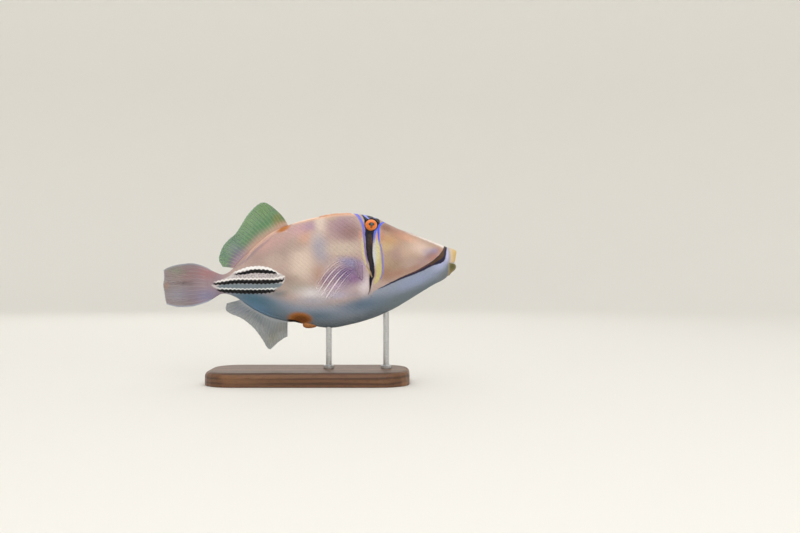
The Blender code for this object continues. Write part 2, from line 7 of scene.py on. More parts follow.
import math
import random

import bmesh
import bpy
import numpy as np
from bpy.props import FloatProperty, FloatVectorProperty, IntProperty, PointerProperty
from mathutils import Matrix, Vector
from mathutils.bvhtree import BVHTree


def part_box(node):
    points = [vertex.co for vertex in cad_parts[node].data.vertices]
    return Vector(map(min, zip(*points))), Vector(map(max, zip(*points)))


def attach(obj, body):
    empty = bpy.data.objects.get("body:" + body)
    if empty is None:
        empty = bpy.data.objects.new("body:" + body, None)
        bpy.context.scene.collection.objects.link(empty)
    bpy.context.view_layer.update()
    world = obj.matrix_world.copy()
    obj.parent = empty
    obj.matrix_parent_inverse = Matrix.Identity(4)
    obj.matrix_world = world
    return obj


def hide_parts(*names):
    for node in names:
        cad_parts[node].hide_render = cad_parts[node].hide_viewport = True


bl_info = {
    "name": "Picasso triggerfish model",
    "version": (1, 0, 0),
    "blender": (4, 5, 0),
    "location": "View3D > Sidebar > Triggerfish",
    "description": "Skin, scales, fins, eyes and studio for a museum model of a picasso triggerfish",
    "category": "Object",
}

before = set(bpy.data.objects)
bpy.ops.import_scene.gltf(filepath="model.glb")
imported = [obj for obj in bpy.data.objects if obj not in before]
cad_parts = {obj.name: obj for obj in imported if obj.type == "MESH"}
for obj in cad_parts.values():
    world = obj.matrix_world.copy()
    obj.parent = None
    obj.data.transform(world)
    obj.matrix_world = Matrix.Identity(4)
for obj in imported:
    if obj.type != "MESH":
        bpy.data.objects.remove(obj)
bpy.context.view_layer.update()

MM = 0.001
BAKE_MAP = "OFBake"
SEED = 11
SIDES = {-1: "right", 1: "left"}

# Ends of the flesh
SNOUT_END = 119.4                    # the lips start here
FLESH_END = -94.0                    # the tail root's flesh laps this far over the fin rays
BARE_SNOUT = 113.0                   # the scales fade out before this

# Skin, sampled finest round the eye and the mouth
SKIN_COLUMNS = 286                   # along each flank
SKIN_ROWS = 150                      # from belly to back
LIP_COLUMNS = 48                     # round the front of the lips
COAT_DEPTH = 0.2                     # the skin lies this far inside the solid flesh, under the scales

# Gill opening
GILL_X = 51.7
GILL_LEAN = -4.3
GILL_BOW = -4.6
GILL_LEVEL = -0.29
GILL_REACH = 0.26

# Eye, placed by the frame's own eyeball
EYE_TILT = math.radians(17)
EYE_RADIUS = 6.1
EYE_DEPTH = 4.6
EYE_BULGE = 0.22                     # of the clear front over the pupil
SOCKET_RADIUS = 6.45
BARE_RADIUS = 8.7                    # no scales nearer the eye than this
EYE_SHIFT = Vector((0.25, 0.0, -1.15))     # the pupil looks a little down and forward
EYE_CENTRE = tuple((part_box("eye_left")[0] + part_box("eye_left")[1]) / 2 / MM + EYE_SHIFT)
LID = ((5.4, 1.9), (5.52, 2.3), (5.72, 2.58), (6.0, 2.74), (6.3, 2.68), (6.6, 2.42), (6.95, 2.05))
LID_RIM = 5.8                        # radius of the lid's crest
LID_REACH = 7.9                      # radius where the lid has run out into the skin

NOSTRILS = ((64.8, 131.2), (67.6, 129.8))
NOSTRIL_RADIUS = 0.55

# Mouth
MOUTH_LEVEL = 102.3
MOUTH_DEPTH = 3.4

# Groove of the folded first dorsal fin
GROOVE = (7.5, 37.5)
GROOVE_HALF_WIDTH = 1.9
GROOVE_DEPTH = 3.4
FOLDED_SPINES = ((39.6, 12.5, 1.25), (25.0, 9.6, 0.95), (16.0, 8.6, 0.75))  # base x, tip x, radius

PLATE_GAP = 0.03                     # share of a scale left as the seam beside it
SPINE_PITCH = 3.6                    # spacing of the small spines on the tail root

# Fin roots, along x
FIN_FRONT = -18.3                    # of the soft dorsal and anal fins
DORSAL_BASE = 46.8
ANAL_BASE = 41.2
TAIL_FIN_ROOT = -83.3

# Stage, in metres
CAMERA_PLACE = (0.0779, -0.951, 0.09933)
LENS_MM = 50.0
SENSOR_MM = 36.0
FISH_MIDDLE = Vector((0.0, 0.0, 0.1))
BOARD_REACH = 1.6                    # of the flat floor
BOARD_CURVE = 0.6
BOARD_TOP = 2.4
SURROUND_STRENGTH = 0.35


def rgb(code):
    """Linear red, green and blue of an sRGB hex colour."""
    parts = [int(code[i:i + 2], 16) / 255 for i in (1, 3, 5)]
    return tuple(c / 12.92 if c <= 0.04045 else ((c + 0.055) / 1.055) ** 2.4 for c in parts)


def ease(t):
    t = np.clip(t, 0.0, 1.0)
    return t * t * (3 - 2 * t)


def bump(distance, width):
    """A rounded ridge, 1 where distance is 0."""
    return np.exp(-(distance / width) ** 2)


def window(value, start, end, soft):
    """1 between start and end, easing to 0 within soft of either."""
    return ease((value - start) / soft) * ease((end - value) / soft)


def smooth(points):
    """A smooth curve through (place, value) points, as a function of a number or an array."""
    places, values = np.array(points, float).T
    slopes = np.gradient(values, places, edge_order=1)
    slopes[1:-1] = (values[2:] - values[:-2]) / (places[2:] - places[:-2])

    def value(place):
        i = np.clip(np.searchsorted(places, place, side="right") - 1, 0, len(places) - 2)
        step = places[i + 1] - places[i]
        t = np.clip((place - places[i]) / step, 0.0, 1.0)
        turn = slopes[i] * t * (1 - t) ** 2 + slopes[i + 1] * t * t * (t - 1)
        return values[i] + (values[i + 1] - values[i]) * ease(t) + step * turn

    return value


# Lines of the body, (x, value) in millimetres, from the tail fin to the snout
back = smooth([
    (-94, 101.0), (-88, 98.7), (-83, 96.0), (-79, 94.2), (-75, 92.8), (-71.5, 93.2), (-66.5, 96.4),
    (-59, 104.8), (-48.8, 114.2), (-41.8, 120.8), (-31.3, 128.8), (-17.3, 135.1), (-3.3, 139.5),
    (12.4, 143.0), (24.7, 144.7), (38.5, 144.9), (47.3, 143.6), (53.7, 142.2), (59, 140.3), (64.5, 137.4),
    (72.8, 133.4), (77.9, 131.1), (95, 125.2), (105.5, 121.2), (115.5, 116.8), (119.4, 115.5),
])
belly = smooth([
    (-94, 66.6), (-88, 68.4), (-83, 70.9), (-79, 73.6), (-75, 75.7), (-71, 75.8), (-66, 74.4), (-60, 71.3),
    (-48, 62.9), (-34.1, 55.9), (-18.3, 51.9), (-12.3, 51.7), (-6.9, 50.4), (-1, 49.7), (4, 48.6),
    (10, 47.3), (20.5, 46.8), (38.5, 50.3), (56.1, 55.6), (73.5, 63.5), (91, 74.0), (105, 82.6),
    (113, 86.9), (117.5, 89.8), (119.4, 91.4),
])
half_width = smooth([
    (-94, 0.3), (-90, 0.8), (-86, 1.6), (-83, 2.0), (-74, 3.4), (-60, 6.0), (-40, 10.2), (-18, 14.0),
    (0, 16.3), (20, 17.6), (40, 17.9), (53, 17.4), (64, 16.2), (75, 14.4), (90, 11.7), (105, 9.0),
    (114, 7.4), (119.4, 6.4),
])
crown = smooth([                     # how square a section is above mid height
    (-83, 2.3), (-40, 2.2), (20, 2.2), (40, 2.6), (53, 4.0), (62, 3.6), (75, 2.6), (90, 2.3), (119.4, 2.3),
])
keel = smooth([(-83, 2.3), (-40, 2.1), (60, 2.1), (100, 2.2), (119.4, 2.3)])
fullness = smooth([                  # 2 is round, less is pinched to a keel along back and belly
    (-83, 1.9), (-60, 1.7), (-20, 1.5), (35, 1.5), (53, 1.9), (75, 1.7), (100, 1.8), (119.4, 2.0),
])
lip_reach = smooth([                 # (height, how far the lips stand out in front of the snout)
    (91.4, 0.0), (91.7, 0.7), (92.7, 1.5), (94.2, 2.9), (95.8, 4.8), (97.4, 6.1), (99.0, 6.5), (100.4, 6.2),
    (101.5, 5.4), (102.3, 4.8), (103.2, 5.3), (104.8, 5.9), (107.2, 6.2), (109.6, 6.6), (111.6, 6.8),
    (112.8, 6.4), (113.8, 4.9), (114.7, 2.8), (115.3, 1.0), (115.5, 0.0),
])
fin_crease = smooth([                # (x, height) of the fold below the soft dorsal fin
    (-56, 101.5), (-52.5, 105.6), (-49.9, 110.8), (-44.7, 116.0), (-36.8, 122.2), (-28.1, 128.3),
    (-18, 130.0),
])
SPINE_ROWS = (
    [(-62.8, 92.6), (-52.7, 94.1), (-44.9, 95.3), (-37.1, 95.1), (-26.4, 93.4)],
    [(-81.0, 84.3), (-70.9, 85.3), (-63.1, 86.2), (-42.4, 86.3), (-29.4, 86.5), (-20.3, 88.8)],
    [(-78.0, 79.6), (-65.7, 78.1), (-47.5, 77.9), (-33.0, 78.4), (-27.5, 79.6)],
)


def level_of(x, z):
    """Height on the body, from -1 on the belly to 1 on the back."""
    return (2 * z - back(x) - belly(x)) / (back(x) - belly(x))


def gill_joint(level):
    """x of the gill opening."""
    return GILL_X + GILL_LEAN * level + GILL_BOW * level * level


def skin_relief(x, z):
    """How far the skin stands out, along its normal, from the plain body."""
    level = level_of(x, z)
    rise = -COAT_DEPTH * ease((BARE_SNOUT - x) / 4)
    joint = gill_joint(level)
    along = np.abs(level - GILL_LEVEL) / GILL_REACH
    slit = ease(1.6 * (1 - along))
    rise = rise - 1.7 * bump(x - joint, 0.55) * slit
    flap = ease(1.5 * (1.35 - along))
    rise = rise + 0.5 * bump(x - joint - 2.0, 1.3) * flap - 0.2 * bump(x - joint + 2.0, 1.6) * flap
    near_fin = window(x, -58, -15, 6)
    fold = z - fin_crease(x)
    rise = rise + near_fin * (0.45 * bump(fold - 2.6, 1.7) - 0.5 * bump(fold, 0.8))
    root_fold = z - belly(x) - 3.2
    rise = rise + 0.25 * window(x, -60, -17, 6) * (bump(root_fold + 1.6, 1.2) - bump(root_fold, 0.7))
    rise = rise - 0.32 * bump(x - 118.4, 0.55)
    chin = window(z, 84, 101, 6) * window(x, 100, 117, 6)
    rise = rise - 0.3 * chin * bump(z - 97.0 - 0.45 * (x - 117), 0.7)
    snout_groove = z - 128.4 + 0.42 * (x - 62)
    rise = rise - 0.3 * window(x, 60, 79, 5) * bump(snout_groove, 0.8)
    swell = np.sin(0.9 * x + 0.5 * z) * np.sin(0.37 * x - 0.8 * z) + np.sin(0.31 * x + 0.23 * z + 2.0)
    return rise + 0.04 * swell


def eye_axes(side):
    """The eye's centre and its forward, upward and outward directions."""
    x, y, z = EYE_CENTRE
    centre = np.array((x, side * y, z))
    out = np.array((0.0, side * math.cos(EYE_TILT), math.sin(EYE_TILT)))
    up = np.array((0.0, -side * math.sin(EYE_TILT), math.cos(EYE_TILT)))
    return centre, np.array((1.0, 0.0, 0.0)), up, out


class Flank:
    """The fish's left flank as a table of points, by x along the body and v round it.

    v runs from 0 on the belly to 1 on the back in equal lengths of skin, and past those it comes down
    the other flank. The right flank mirrors the left.
    """

    def __init__(self):
        self.x = np.linspace(FLESH_END, SNOUT_END, 830)
        self.v = np.linspace(0.0, 1.0, 361)
        levels = np.sin(np.linspace(-math.pi / 2, math.pi / 2, 1201))
        self.points = np.empty((len(self.x), len(self.v), 3))
        self.length = np.empty(len(self.x))
        for i, x in enumerate(self.x):
            square = np.where(levels > 0, crown(x), keel(x))
            y = half_width(x) * np.maximum(1 - np.abs(levels) ** square, 0.0) ** (1 / fullness(x))
            z = (back(x) + belly(x) + (back(x) - belly(x)) * levels) / 2
            arc = np.concatenate(([0.0], np.cumsum(np.hypot(np.diff(y), np.diff(z)))))
            self.length[i] = arc[-1]
            places = self.v * arc[-1]
            self.points[i] = np.stack((np.full_like(places, x), np.interp(places, arc, y),
                                       np.interp(places, arc, z)), axis=1)
        x, z = self.points[..., 0], self.points[..., 2]
        self.points += self.find_normals() * skin_relief(x, z)[..., None]
        self.shape_eye_socket()
        self.cut_groove()
        self.points[:, (0, -1), 1] = 0.0
        self.normals = self.find_normals()

    def find_normals(self):
        normals = np.cross(np.gradient(self.points, axis=1), np.gradient(self.points, axis=0))
        normals[:, (0, -1), 1] = 0.0
        return normals / np.maximum(np.linalg.norm(normals, axis=2, keepdims=True), 1e-9)

    def shape_eye_socket(self):
        centre, _, _, out = eye_axes(1)
        offset = self.points - centre
        depth = offset @ out
        radius = np.linalg.norm(offset - depth[..., None] * out, axis=2)
        near = (depth > -8) & (radius < 12)
        swell = 0.7 * bump(radius - 7.0, 1.7)
        hollow = ease((SOCKET_RADIUS - radius) / 0.7) * (-1.5 - depth)
        self.points += np.where(near, swell + hollow, 0.0)[..., None] * out

    def cut_groove(self):
        x, y = self.points[..., 0], self.points[..., 1]
        ends = window(x, GROOVE[0], GROOVE[1], 0.9)
        on_back = self.points[..., 2] > back(x) - 6
        walls = ease((GROOVE_HALF_WIDTH + 0.15 - y) / 0.35)
        rim = 0.25 * bump(y - GROOVE_HALF_WIDTH - 0.8, 0.5)
        self.points[..., 2] += np.where(on_back, ends * (rim - (GROOVE_DEPTH - 0.2) * walls), 0.0)

    def look_up(self, table, x, v):
        """A table's vectors at any x and v, between its own points."""
        x, v = np.asarray(x, float), np.asarray(v, float)
        over = (v < 0) | (v > 1)
        v = np.where(v > 1, 2 - v, np.abs(v))
        column = np.clip((x - self.x[0]) / (self.x[1] - self.x[0]), 0, len(self.x) - 1.001)
        row = np.clip(v * (len(self.v) - 1), 0, len(self.v) - 1.001)
        i, j = column.astype(int), row.astype(int)
        s, t = (column - i)[..., None], (row - j)[..., None]
        low = table[i, j] * (1 - s) + table[i + 1, j] * s
        high = table[i, j + 1] * (1 - s) + table[i + 1, j + 1] * s
        found = low * (1 - t) + high * t
        found[..., 1] *= np.where(over, -1.0, 1.0)
        return found

    def at(self, x, v):
        return self.look_up(self.points, x, v)

    def normal(self, x, v):
        return self.look_up(self.normals, x, v)

    def girth(self, x):
        """Length of skin from belly to back at x."""
        return float(np.interp(x, self.x, self.length))

    def v_of(self, x, z):
        """The v of a height on the flank at x."""
        i = int(round((x - self.x[0]) / (self.x[1] - self.x[0])))
        return float(np.interp(z, self.points[i, :, 2], self.v))


FLANK = Flank()


def spread(count, start, end, density):
    """count places from start to end, closer together where density(place) is higher."""
    fine = np.linspace(start, end, 4000)
    total = np.concatenate(([0.0], np.cumsum(density((fine[1:] + fine[:-1]) / 2))))
    return np.interp(np.linspace(0, total[-1], count), total, fine)


def midline(x, z):
    """Points on the plane that parts the fish's two sides."""
    return np.stack((x, np.zeros_like(x), z), axis=-1)


def circle(count, forward, up):
    """Directions spread evenly round a circle."""
    angles = np.linspace(0, 2 * math.pi, count, endpoint=False)[:, None]
    return np.cos(angles) * forward + np.sin(angles) * up


def uv_of(x, v, side):
    """Place on the unwrapped skin: right flank below, left flank above, both head to the right."""
    u = 0.01 + 0.84 * (x - FLESH_END) / (SNOUT_END - FLESH_END)
    low = 0.01 if side < 0 else 0.51
    return np.stack((u, low + 0.48 * np.clip(v, 0, 1)), axis=-1)


def ring_uv(rows, columns, side, u, v, across, along):
    """Places on the unwrapped skin of a small ring in front of the flanks, from its own corner and steps."""
    k, i = np.indices((rows, columns))
    low = 0.02 if side < 0 else 0.52
    return np.stack((u + across * i, low + v + along * k), axis=-1)


def grid_faces(rows, columns, wrap_rows=False, wrap_columns=False):
    """Quads of a grid stored row by row, closed into a ring where it wraps."""
    j, i = np.indices((rows if wrap_rows else rows - 1, columns if wrap_columns else columns - 1))
    here, below, beside = j * columns, (j + 1) % rows * columns, (i + 1) % columns
    quads = np.stack((here + i, here + beside, below + beside, below + i), axis=-1)
    return quads.reshape(-1, 4).tolist()


def tube_faces(rings, sides):
    """Quads round a tube stored ring by ring, and a fan at each end about its last two points."""
    faces = grid_faces(rings, sides, wrap_columns=True)
    end = rings * sides
    for k in range(sides):
        n = (k + 1) % sides
        faces += [(end, n, k), (end + 1, end - sides + k, end - sides + n)]
    return faces


def tube(path, radii, sides):
    """Points and faces of a closed tube along a path."""
    path = np.asarray(path, float)
    along = np.gradient(path, axis=0)
    along /= np.linalg.norm(along, axis=1, keepdims=True)
    across = np.cross(along, (0.0, 0.0, 1.0))
    across /= np.linalg.norm(across, axis=1, keepdims=True)
    up = np.cross(across, along)
    spin = np.array([circle(sides, *ways) for ways in zip(across, up)])
    rings = path[:, None] + spin * np.asarray(radii)[:, None, None]
    return np.concatenate((rings.reshape(-1, 3), path[:1], path[-1:])), tube_faces(len(path), sides)


def join(parts):
    """One list of points and faces from several, with their UVs."""
    points, faces, uvs, count = [], [], [], 0
    for part_points, part_faces, part_uv in parts:
        points.append(np.reshape(part_points, (-1, 3)))
        faces += [[corner + count for corner in face] for face in part_faces]
        uvs.append(np.broadcast_to(part_uv, (*part_points.shape[:-1], 2)).reshape(-1, 2))
        count += len(points[-1])
    return np.concatenate(points), faces, np.concatenate(uvs)


def add_piece(name, points, faces, finish, uv=None, weld=0.0, marks=None):
    """A smooth-shaded object on the fish's body, from points in millimetres."""
    mesh = bpy.data.meshes.new(name)
    mesh.from_pydata((np.reshape(points, (-1, 3)) * MM).tolist(), [], faces)
    if uv is not None:
        layer = mesh.uv_layers.new(name=BAKE_MAP)
        corners = np.empty(len(mesh.loops), dtype=np.int32)
        mesh.loops.foreach_get("vertex_index", corners)
        layer.data.foreach_set("uv", np.reshape(uv, (-1, 2))[corners].astype(np.float32).ravel())
    for mark, values in (marks or {}).items():
        attribute = mesh.attributes.new(mark, "FLOAT", "POINT")
        attribute.data.foreach_set("value", np.asarray(values, dtype=np.float32).ravel())
    shape = bmesh.new()
    shape.from_mesh(mesh)
    if weld:
        bmesh.ops.remove_doubles(shape, verts=shape.verts, dist=weld * MM)
    bmesh.ops.recalc_face_normals(shape, faces=shape.faces)
    shape.to_mesh(mesh)
    shape.free()
    mesh.shade_smooth()
    mesh.materials.append(finish)
    piece = bpy.data.objects.new(name, mesh)
    bpy.context.scene.collection.objects.link(piece)
    return piece


# Materials

MIX_UNDER, MIX_OVER, MIX_RESULT = 6, 7, 2  # a Mix node's colour sockets, which share their names with others
SMOOTH = {"interpolation_type": "SMOOTHSTEP"}


def span(value, low, high, start=0.0, end=1.0):
    """What turns low to high into start to end, for a Map Range node."""
    return {"Value": value, "From Min": low, "From Max": high, "To Min": start, "To Max": end}


class Finish:
    """A material being made: its colour is laid coat by coat on a ground colour."""

    def __init__(self, name, ground):
        self.material = bpy.data.materials.new(name)
        self.material.use_nodes = True
        self.tree = self.material.node_tree
        self.tree.nodes.clear()
        self.output = self.tree.nodes.new("ShaderNodeOutputMaterial").inputs[0]
        self.colour = (*(rgb(ground) if isinstance(ground, str) else ground), 1.0)

    def add(self, kind, inputs, out=0, **settings):
        """Adds a node and gives one of its outputs; inputs are values, or the sockets that feed them."""
        node = self.tree.nodes.new("ShaderNode" + kind)
        for name, value in settings.items():
            setattr(node, name, value)
        for key, value in inputs.items():
            if isinstance(value, bpy.types.NodeSocket):
                self.tree.links.new(value, node.inputs[key])
            else:
                node.inputs[key].default_value = value
        return node.outputs[out]

    def lay(self, code, *masks):
        """Lays a hex colour where all the masks are."""
        mask = masks[0]
        for other in masks[1:]:
            mask = self.add("Math", {0: mask, 1: other}, operation="MULTIPLY")
        coat = {0: mask, MIX_UNDER: self.colour, MIX_OVER: (*rgb(code), 1.0)}
        self.colour = self.add("Mix", coat, MIX_RESULT, data_type="RGBA")

    def shade(self, *coats):
        """Lays hex colours, each coming in up to its strength as a value goes from low to high."""
        for code, value, low, high, strength in coats:
            self.lay(code, self.add("MapRange", span(value, low, high, 0.0, strength), **SMOOTH))

    def seal(self, inputs, height=None, strength=0.0, depth=0.0):
        """Ends the finish with its shader; height raises the surface by up to depth metres."""
        inputs = {"Base Color": self.colour, **inputs}
        if height is not None:
            inputs["Normal"] = self.add("Bump", {"Strength": strength, "Distance": depth, "Height": height})
        self.tree.links.new(self.add("BsdfPrincipled", inputs), self.output)
        return self.material


class Paint(Finish):
    """Coats laid by place on the fish, in millimetres.

    Their masks use number and vector nodes alone, so that a long chain of coats still fits one shader.
    """

    def __init__(self, name, ground, ripple=0.35):
        super().__init__(name, ground)
        place = self.add("TexCoord", {}, "Object")
        self.place = self.add("VectorMath", {0: place, "Scale": 1 / MM}, operation="SCALE")
        # Edges of the colours waver every 3 mm or so
        noise = self.add("TexNoise", {"Vector": self.place, "Scale": 0.3, "Detail": 3.0}, "Color")
        sway = {0: noise, 1: (2 * ripple,) * 3, 2: (-ripple,) * 3}
        sway = self.add("VectorMath", sway, operation="MULTIPLY_ADD")
        self.rippled = self.add("VectorMath", {0: self.place, 1: sway}, operation="ADD")
        self.axes = {
            name: self.add("VectorMath", {0: self.rippled, 1: way}, "Value", operation="DOT_PRODUCT")
            for name, way in (("x", (1.0, 0.0, 0.0)), ("z", (0.0, 0.0, 1.0)))
        }

    def curve(self, along, points):
        """The value of a smooth line through (place, value) points at this spot."""
        places = [place for place, _ in points]
        values = [value for _, value in points]
        low, high = min(values), max(max(values), min(values) + 0.001)
        share = self.add("MapRange", span(self.axes[along], places[0], places[-1]))
        bend = self.add("FloatCurve", {"Value": share})
        mapping = bend.node.mapping
        line = mapping.curves[0].points
        for _ in points[2:]:
            line.new(0.5, 0.5)
        for knot, (place, value) in zip(line, points):
            knot.location = ((place - places[0]) / (places[-1] - places[0]), (value - low) / (high - low))
        mapping.update()
        return self.add("MapRange", span(bend, 0.0, 1.0, low, high), clamp=False)

    def off(self, along, points, wave=None):
        """How far this spot is past a line: above one along x, in front of one along z."""
        centre = self.curve(along, points)
        if wave:
            centre = self.add("Math", {0: centre, 1: wave}, operation="ADD")
        across = self.axes["z" if along == "x" else "x"]
        return self.add("Math", {0: across, 1: centre}, operation="SUBTRACT")

    def stroke(self, along, points, half_widths, soft=0.35, strength=1.0, wave=None):
        """A mask for a painted line through points, its half width given along it, moved aside by wave."""
        (start, _), (end, _) = half_widths[0], half_widths[-1]
        tip = 1.5 * soft + 0.4       # the line tapers away past its ends
        off = self.add("Math", {0: self.off(along, points, wave)}, operation="ABSOLUTE")
        half = self.curve(along, [(start - tip, -1.5 * soft), *half_widths, (end + tip, -1.5 * soft)])
        inner = self.add("Math", {0: half, 1: soft}, operation="SUBTRACT")
        outer = self.add("Math", {0: half, 1: soft}, operation="ADD")
        return self.add("MapRange", span(off, inner, outer, strength, 0.0), **SMOOTH)

    def beyond(self, along, points, soft, start=0.0, end=1.0):
        """A mask that goes from start to end across a line, on to the side above it or in front of it."""
        return self.add("MapRange", span(self.off(along, points), -soft, soft, start, end), **SMOOTH)

    def patch(self, x, z, length, height, tilt=0.0, strength=1.0, core=0.0):
        """A mask for a soft oval with its half length and half height, its front raised by tilt degrees."""
        cos, sin = math.cos(math.radians(tilt)), math.sin(math.radians(tilt))
        reach = 0.0
        for dx, dz, half in ((cos, sin, length), (-sin, cos, height)):
            ways = {0: self.rippled, 1: (dx / half, 0.0, dz / half)}
            place = self.add("VectorMath", ways, "Value", operation="DOT_PRODUCT")
            off = self.add("Math", {0: place, 1: (x * dx + z * dz) / half}, operation="SUBTRACT")
            reach = self.add("Math", {0: off, 1: off, 2: reach}, operation="MULTIPLY_ADD")
        reach = self.add("Math", {0: reach}, operation="SQRT")
        return self.add("MapRange", span(reach, core, 1.0, strength, 0.0), **SMOOTH)

    def draw(self, *coats, core=()):
        """Lays coats in turn, each a hex colour with what its mask is made of.

        An oval has x, z, half length, half height, tilt, strength and core, a line has its axis, points,
        half widths, softness and strength, and a mark kept on the mesh has its name, low, high and strength.
        """
        for code, first, *rest in coats:
            if first in self.axes:
                self.lay(code, self.stroke(first, *rest))
            elif isinstance(first, str):
                self.shade((code, self.add("Attribute", {}, "Fac", attribute_name=first), *rest))
            else:
                self.lay(code, self.patch(first, *rest, *core))


def along_line(line, rise, *places):
    """Points above or below one of the body's lines."""
    return [(x, float(line(x)) + rise) for x in places]


def paint_flank(paint):
    """Peach and mauve clouds of the upper flank, with the purple patch behind the pectoral fin's root and
    painted highlights along the back.
    """
    paint.draw(
        ("#AE958F", -42, 108, 22, 14, 45, 0.8),
        ("#CDA49E", -35, 119, 20, 9, 42, 0.8),
        ("#C6A09C", -24, 121, 18, 12, 38, 0.7),
        ("#B09A92", -19, 112, 22, 13, 25, 0.8),
        ("#C8B4A8", -28, 104, 14, 9, 0, 0.5),
        ("#DFCBBC", -5, 102, 18, 26, -8, 0.95),
        ("#B39C92", -8, 118, 14, 9, 10, 0.7),
        ("#CBA2A6", -7, 131, 18, 10, 14, 0.85),
        ("#AE90A6", 2, 133, 11, 8, 10, 0.75),
        ("#D6A68E", -1, 124, 13, 9, 20, 0.65),
        ("#E3D0C1", 11, 136, 9, 16, 8, 0.85),
        ("#D2C0B8", 7, 123, 9, 12, 15, 0.6),
        ("#A6A2B2", 11, 114, 12, 20, 18, 0.85),
        ("#A58690", 29, 133, 22, 18, 0, 0.95),
        ("#94726E", 36, 128, 16, 12, 0, 0.8),
        ("#C0A890", 19, 141, 9, 5, 0, 0.5),
        ("#CDBCAC", 29, 114, 24, 10, 0, 0.8),
        ("#CDB4A6", 45, 117, 6, 12, 0, 0.5),
        ("#A39086", -17, 87, 20, 10, 0, 0.75),
        ("#AFA69C", -6, 80, 26, 9, -6, 0.8),
        ("#E4DDE0", 6, 76, 26, 10, 0, 0.92),
        ("#B9917E", 10.5, 92, 9, 13, 25, 0.65),
        ("#BFAEB8", 30, 80, 28, 10, 8, 0.85),
        ("#DED3D8", 48, 84, 9, 17, 0, 0.9),
        ("#BEB6CA", 25, 75, 16, 6, 0, 0.8),
        ("#8A7296", 32, 93, 26, 16.5, 30, 0.95),
        ("#846486", 17, 89.5, 13, 6, 48, 0.8),
        ("#5E407C", 34.5, 93.5, 16.5, 10, 16, 0.78),
        ("#8484B0", 36, 103, 17, 6.5, -12, 0.75),
        ("#94709A", 41, 89.5, 12, 8, 0, 0.75),
        ("#C4ACC8", 46, 99.5, 6, 6, 0, 0.7),
        ("#C4A8C8", 23, 82.5, 10, 4, 10, 0.65),
        core=(0.05,),
    )
    # Painted highlights along the top of the back: a peach rim just below it and a paler crest on it.
    spots = (-14, -6, 4, 16, 28, 39)
    rim, crest = along_line(back, -1.0, *spots), along_line(back, -0.2, *spots)
    paint.draw(
        ("#F0BE9A", "x", rim, [(-12, 0.2), (0, 0.9), (20, 1.1), (39, 0.8)], 1.9, 0.9),
        ("#FBE6D6", "x", crest, [(-14, 0.5), (10, 0.5), (20, -0.4)], 0.8, 0.8),
    )


def paint_cheek(paint):
    """Tan cheek with an orange patch in front of the eye, and a painted highlight along the ridge of the
    snout.
    """
    paint.draw(("#B99C8A", 88, 110, 44, 28, 0, 0.9, 0.5))
    paint.draw(
        ("#A07C70", 71, 130, 17, 8, -23, 0.85),
        ("#BC8872", 80, 125.5, 18, 6, -23, 0.75),
        ("#8A6250", 65.5, 132.5, 9, 5, -25, 0.75),
        ("#C79A6C", 67.5, 122, 17, 9, -10, 0.75),
        ("#DCAE92", 87, 122.5, 15, 5, -22, 0.7),
        ("#CFB488", 66, 115, 10, 8, 0, 0.75),
        ("#A98A84", 75, 108.5, 14, 11, 0, 0.65),
        ("#A08872", 74, 100, 12, 9, 0, 0.75),
        ("#B29A7E", 67, 104, 7, 12, 0, 0.6),
        ("#CDB09C", 85, 111.5, 12, 9, 0, 0.6),
        ("#DFC6B8", 96, 114.5, 17, 9, -20, 0.9),
        ("#B49C92", 87, 103, 15, 8, 25, 0.75),
        ("#9C755A", 66, 93, 11, 11, 0, 0.8),
        ("#A47A68", 76, 93.5, 13, 6, 25, 0.75),
        ("#A67E72", 90, 98, 15, 4, 25, 0.7),
        ("#AC8E90", 98, 104, 10, 7, 30, 0.7),
        ("#AC9CAE", 102, 111.5, 9, 6, 0, 0.7),
        ("#968AAE", 108, 112.4, 7, 4.5, 0, 0.75),
        ("#8E6A6C", 103.5, 108.6, 8, 4.5, 30, 0.65),
        ("#B27C76", 106.5, 107.2, 8, 4, 40, 0.7),
        ("#B48470", 112, 112.5, 4, 5, 20, 0.7),
        ("#BC7464", 63, 126, 3, 8, 0, 0.45),
        core=(0.05,),
    )
    # Painted highlight: a near-white line along the ridge of the snout.
    ridge = along_line(back, -0.9, 76, 90, 100, 110, 118)
    paint.draw(("#F8F0EA", "x", ridge, [(82, -0.3), (92, 0.5), (104, 0.9), (118, 0.9)], 0.9, 0.85))


